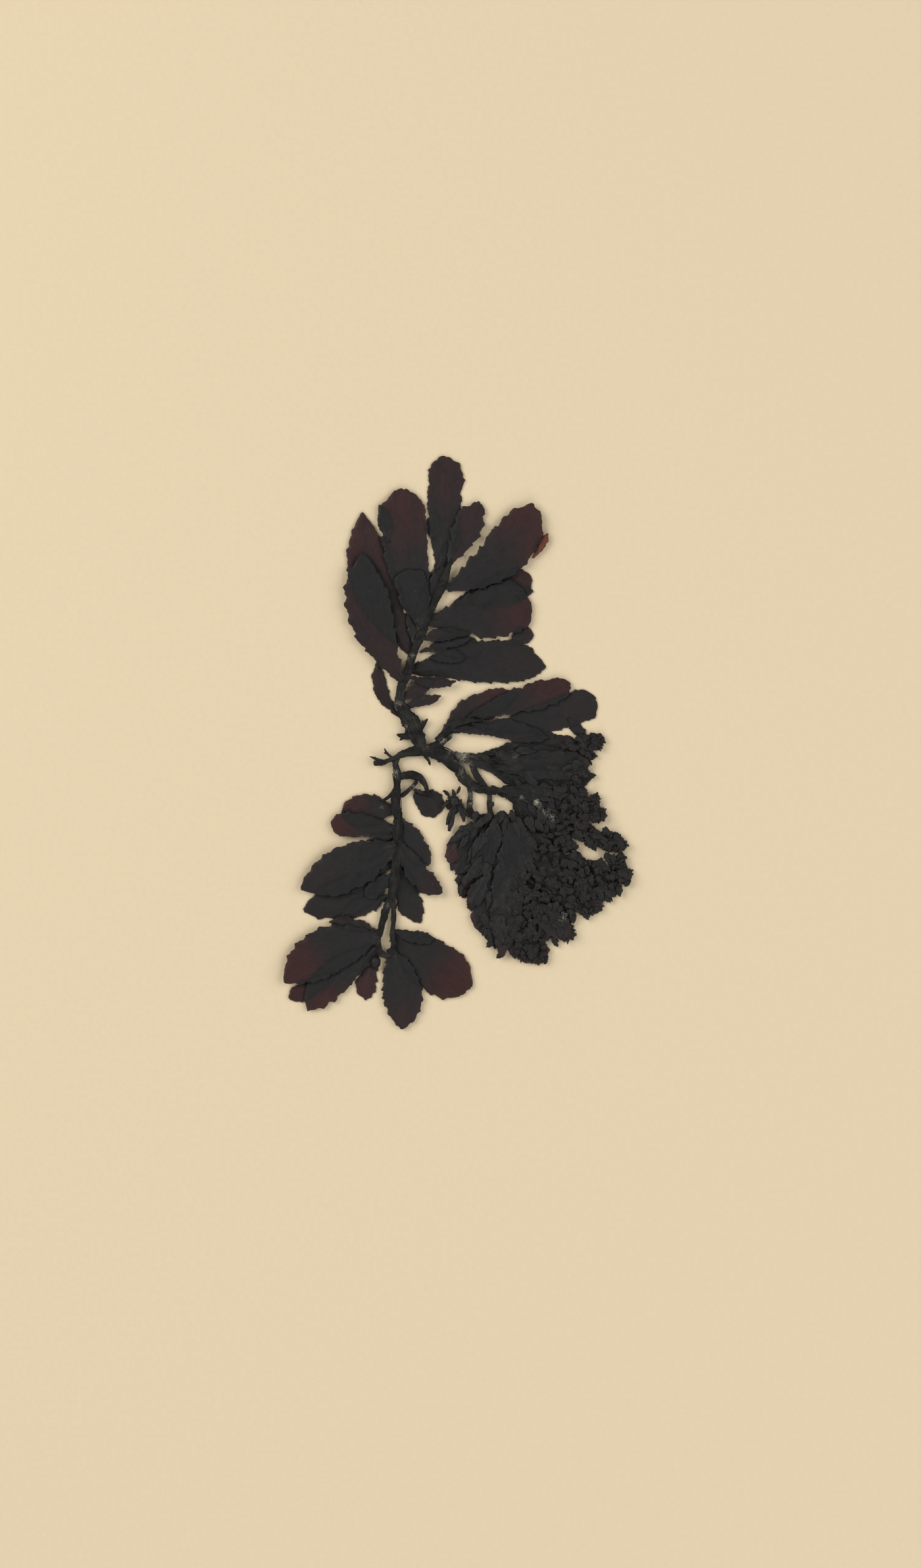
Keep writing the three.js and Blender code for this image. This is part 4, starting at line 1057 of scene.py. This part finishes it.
def floor_finish(colours):
    """Plain, pale floor with a very fine grain."""
    floor = Finish("pale_floor", 0.2)
    grit = floor.grains(700, 3, 0.5)
    darker = Vector(colours.floor) * 0.97
    colour = floor.mix(floor.between(grit, 0.2, 0.8), darker, colours.floor)
    return floor.done(colour, floor.between(grit, 0.2, 0.8, 0.8, 0.9))


FINISHES = {
    "dried_leaf": leaf_finish,
    "fibrous_stem": stem_finish,
    "crinkled_receptacle": receptacle_finish,
    "pale_floor": floor_finish,
}


def finish(name, colours):
    """The material of that name, made on first use."""
    return bpy.data.materials.get(name) or FINISHES[name](colours)


def grow(node, sizes, colours):
    """Builds the leaves, stems and receptacles that stand for one node."""
    first = sum(ord(letter) for letter in node)
    leaves, stems, fruit = Surface(), Surface(), Surface()
    rough, sink = (FERTILE_ROUGHNESS, FERTILE_SINK) if node in CLUSTERS else (1.0, 0.0)

    def seed(part, number):
        return first + SEED_STEPS[part] * number

    for number, leaf in enumerate(LEAVES.get(node, ())):
        add_leaf(leaves, leaf, sizes, seed("leaf", number), rough)
    for number, stem in enumerate(STEMS.get(node, ())):
        add_stem(stems, stem, sizes, seed("stem", number), sink)
        add_spurs(stems, stem, sizes, seed("spur", number), sink)
        add_strands(stems, stem, sizes, seed("strand", number), sink)
    for number, cluster in enumerate(CLUSTERS.get(node, ())):
        add_cluster(fruit, cluster, sizes, seed("cluster", number))
    if node in FLAKE_SPOTS:
        add_flakes(fruit, node, sizes, first)
    for number, spindle in enumerate(SPINDLES.get(node, ())):
        add_spindle(fruit, spindle, 0, seed("spindle", number))
    if node == "bottom_leaves":
        add_bladder(leaves, first)
    slot = "wine_leaf" if node in ("bottom_leaves", "leafy_branch") else "dark_leaf"
    if leaves.count:
        leaves.piece(f"{node}.leaves", node, slot, finish("dried_leaf", colours))
    if stems.count:
        stems.piece(f"{node}.stems", node, "stem", finish("fibrous_stem", colours))
    if fruit.count:
        fruit.piece(f"{node}.receptacles", node, "receptacle",
                    finish("crinkled_receptacle", colours))


def length_property(name, description, default):
    return FloatProperty(name=name, description=description, default=default, min=0.0,
                         unit="LENGTH", precision=5)


def share_property(name, description, default, least, most):
    return FloatProperty(name=name, description=description, default=default, min=least, max=most,
                         subtype="FACTOR")


def colour_property(name, description, default):
    return FloatVectorProperty(name=name, description=description, default=default,
                               subtype="COLOR", size=3, min=0.0, max=1.0)


class SargassumSizes(bpy.types.PropertyGroup):
    blade_thickness: length_property("Blade thickness", "Thickness of a leaf", 0.0005)
    rib_rise: length_property("Midrib rise", "How far the midrib stands up", 0.00015)
    layer_pitch: length_property("Layer pitch", "Height from one layer to the next", 0.00085)
    ripple: length_property("Ripple", "Highest rise of the plant's waves", 0.00055)
    wrinkle: length_property("Wrinkle", "Height of the wrinkles in a leaf", 0.00009)
    row_step: length_property("Row step", "Distance between rows of points", 0.00032)
    receptacle_length: length_property("Receptacle length", "Length of a receptacle", 0.0018)
    flake_pitch: length_property("Flake pitch", "Distance from one flake to the next", 0.0019)
    stem_width: share_property("Stem width", "Width of a stem, as a part of its solid's",
                               0.84, 0.3, 1.2)
    stem_flat: share_property("Stem flatness", "Height of a stem, as a part of its solid's",
                              0.52, 0.2, 1.0)
    flute: share_property("Flute", "Depth of a stem's flutes, as a part of its radius",
                          0.06, 0.0, 0.3)


class SargassumColours(bpy.types.PropertyGroup):
    leaf: colour_property("Leaf", "Where leaves lie over each other", (0.0090, 0.0085, 0.0088))
    leaf_brown: colour_property("Leaf blotches", "Brown blotches", (0.0155, 0.0112, 0.0104))
    wine: colour_property("Wine", "Where a leaf lies alone", (0.0285, 0.0089, 0.0082))
    rust: colour_property("Rust", "The folded, thin rim of one leaf", (0.115, 0.031, 0.017))
    margin: colour_property("Margin", "Thin edge of a leaf", (0.060, 0.028, 0.016))
    stem: colour_property("Stem", "Dark side of a stem", (0.0115, 0.0112, 0.0105))
    stem_light: colour_property("Stem ridges", "Light side of a stem", (0.027, 0.0262, 0.0225))
    crust: colour_property("Crust", "Pale crust and specks", (0.50, 0.46, 0.38))
    receptacle: colour_property("Receptacle", "Body of a receptacle", (0.0105, 0.0098, 0.0098))
    fringe: colour_property("Fringe", "Tips of the receptacles", (0.055, 0.026, 0.015))
    floor: colour_property("Floor", "The surface below", (0.79, 0.655, 0.447))


class SargassumStage(bpy.types.PropertyGroup):
    lens: FloatProperty(name="Lens", description="Focal length of the camera, in mm",
                        default=120.0, min=20.0, subtype="DISTANCE_CAMERA")
    view_length: length_property("View length", "Length of the floor in view", 0.4535)
    floor_size: length_property("Floor size", "Width of the floor", 3.0)
    light_power: FloatProperty(name="Light power", description="Power of the main light",
                               default=14.4, min=0.0, unit="POWER")


class GrowShoot:
    """Shared by the operators that build one node's pieces."""
    bl_options = {"REGISTER", "UNDO"}
    node = ""

    def execute(self, context):
        scene = context.scene
        grow(self.node, scene.sargassum_sizes, scene.sargassum_colours)
        return {"FINISHED"}


class SARGASSUM_OT_main_axis(GrowShoot, bpy.types.Operator):
    """Builds the cut main axis and the strand beside it"""
    bl_idname = "sargassum.main_axis"
    bl_label = "Main axis"
    node = "main_axis"


class SARGASSUM_OT_upper_shoot(GrowShoot, bpy.types.Operator):
    """Builds the upper shoot with its broad leaves"""
    bl_idname = "sargassum.upper_shoot"
    bl_label = "Upper shoot"
    node = "upper_shoot"


class SARGASSUM_OT_lower_shoot(GrowShoot, bpy.types.Operator):
    """Builds the lower shoot with its side leaves"""
    bl_idname = "sargassum.lower_shoot"
    bl_label = "Lower shoot"
    node = "lower_shoot"


class SARGASSUM_OT_bottom_leaves(GrowShoot, bpy.types.Operator):
    """Builds the bottom leaves and the air bladder"""
    bl_idname = "sargassum.bottom_leaves"
    bl_label = "Bottom leaves"
    node = "bottom_leaves"


class SARGASSUM_OT_leafy_branch(GrowShoot, bpy.types.Operator):
    """Builds the leafy branch at the right"""
    bl_idname = "sargassum.leafy_branch"
    bl_label = "Leafy branch"
    node = "leafy_branch"


class SARGASSUM_OT_fertile_upper(GrowShoot, bpy.types.Operator):
    """Builds the upper part of the fertile branch"""
    bl_idname = "sargassum.fertile_upper"
    bl_label = "Fertile branch, upper"
    node = "fertile_branch_upper"


class SARGASSUM_OT_fertile_lower(GrowShoot, bpy.types.Operator):
    """Builds the lower part of the fertile branch"""
    bl_idname = "sargassum.fertile_lower"
    bl_label = "Fertile branch, lower"
    node = "fertile_branch_lower"


class SARGASSUM_OT_gap_cluster(GrowShoot, bpy.types.Operator):
    """Builds the small cluster in the gap beside the main axis"""
    bl_idname = "sargassum.gap_cluster"
    bl_label = "Gap cluster"
    node = "gap_cluster"


def soft_light(name, place, width, power, colour):
    """A square light that faces the middle of the plant."""
    data = bpy.data.lights.new(name, "AREA")
    data.shape = "SQUARE"
    data.size = width
    data.energy = power
    data.color = colour
    light = bpy.data.objects.new(name, data)
    light.location = place
    light.rotation_euler = (-Vector(place)).to_track_quat("-Z", "Y").to_euler()
    bpy.context.scene.collection.objects.link(light)


class SARGASSUM_OT_stage(bpy.types.Operator):
    """Sets up the floor, the soft lights and the camera straight above"""
    bl_idname = "sargassum.stage"
    bl_label = "Floor, lights and camera"
    bl_options = {"REGISTER", "UNDO"}

    def execute(self, context):
        scene = context.scene
        stage, colours = scene.sargassum_stage, scene.sargassum_colours
        half = stage.floor_size / 2
        mesh = bpy.data.meshes.new("floor")
        corners = [(x * half, y * half, -FLOOR_DROP)
                   for x, y in ((-1, -1), (1, -1), (1, 1), (-1, 1))]
        mesh.from_pydata(corners, [], [(0, 1, 2, 3)])
        mesh.materials.append(finish("pale_floor", colours))
        floor = bpy.data.objects.new("floor", mesh)
        scene.collection.objects.link(floor)

        for name, (place, width, share, colour) in LIGHTS.items():
            soft_light(name, place, width, share * stage.light_power, colour)
        world = bpy.data.worlds.new("pale_room")
        world.use_nodes = True
        sky = world.node_tree.nodes["Background"]
        sky.inputs["Color"].default_value = SKY_COLOUR
        sky.inputs["Strength"].default_value = SKY_STRENGTH
        scene.world = world

        data = bpy.data.cameras.new("camera")
        data.lens = stage.lens
        data.sensor_width = SENSOR_WIDTH
        camera = bpy.data.objects.new("camera", data)
        camera.location = (*VIEW_CENTRE, stage.lens / SENSOR_WIDTH * stage.view_length)
        scene.collection.objects.link(camera)
        scene.camera = camera
        scene.view_settings.view_transform = "Standard"
        return {"FINISHED"}


BUILD_ORDER = (
    SARGASSUM_OT_main_axis, SARGASSUM_OT_upper_shoot, SARGASSUM_OT_lower_shoot,
    SARGASSUM_OT_bottom_leaves, SARGASSUM_OT_leafy_branch, SARGASSUM_OT_fertile_upper,
    SARGASSUM_OT_fertile_lower, SARGASSUM_OT_gap_cluster, SARGASSUM_OT_stage,
)


class SARGASSUM_PT_plant(bpy.types.Panel):
    """Lists the plant's pieces with their sizes and colours"""
    bl_idname = "SARGASSUM_PT_plant"
    bl_label = "Dried sargassum"
    bl_space_type = "VIEW_3D"
    bl_region_type = "UI"
    bl_category = "Sargassum"

    def draw(self, context):
        column = self.layout.column()
        for operator in BUILD_ORDER:
            column.operator(operator.bl_idname)
        scene = context.scene
        for group in (scene.sargassum_sizes, scene.sargassum_colours, scene.sargassum_stage):
            column.separator()
            for name in group.__annotations__:
                column.prop(group, name)


GROUPS = {
    "sargassum_sizes": SargassumSizes,
    "sargassum_colours": SargassumColours,
    "sargassum_stage": SargassumStage,
}


def register():
    for group in GROUPS.values():
        bpy.utils.register_class(group)
    for operator in BUILD_ORDER:
        bpy.utils.register_class(operator)
    bpy.utils.register_class(SARGASSUM_PT_plant)
    for name, group in GROUPS.items():
        setattr(bpy.types.Scene, name, PointerProperty(type=group))


def unregister():
    for name in GROUPS:
        delattr(bpy.types.Scene, name)
    bpy.utils.unregister_class(SARGASSUM_PT_plant)
    for operator in reversed(BUILD_ORDER):
        bpy.utils.unregister_class(operator)
    for group in reversed(GROUPS.values()):
        bpy.utils.unregister_class(group)


def main():
    """Registers the classes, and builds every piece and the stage."""
    register()
    bpy.ops.sargassum.main_axis()
    bpy.ops.sargassum.upper_shoot()
    bpy.ops.sargassum.lower_shoot()
    bpy.ops.sargassum.bottom_leaves()
    bpy.ops.sargassum.leafy_branch()
    bpy.ops.sargassum.fertile_upper()
    bpy.ops.sargassum.fertile_lower()
    bpy.ops.sargassum.gap_cluster()
    bpy.ops.sargassum.stage()


if __name__ == "__main__":
    main()
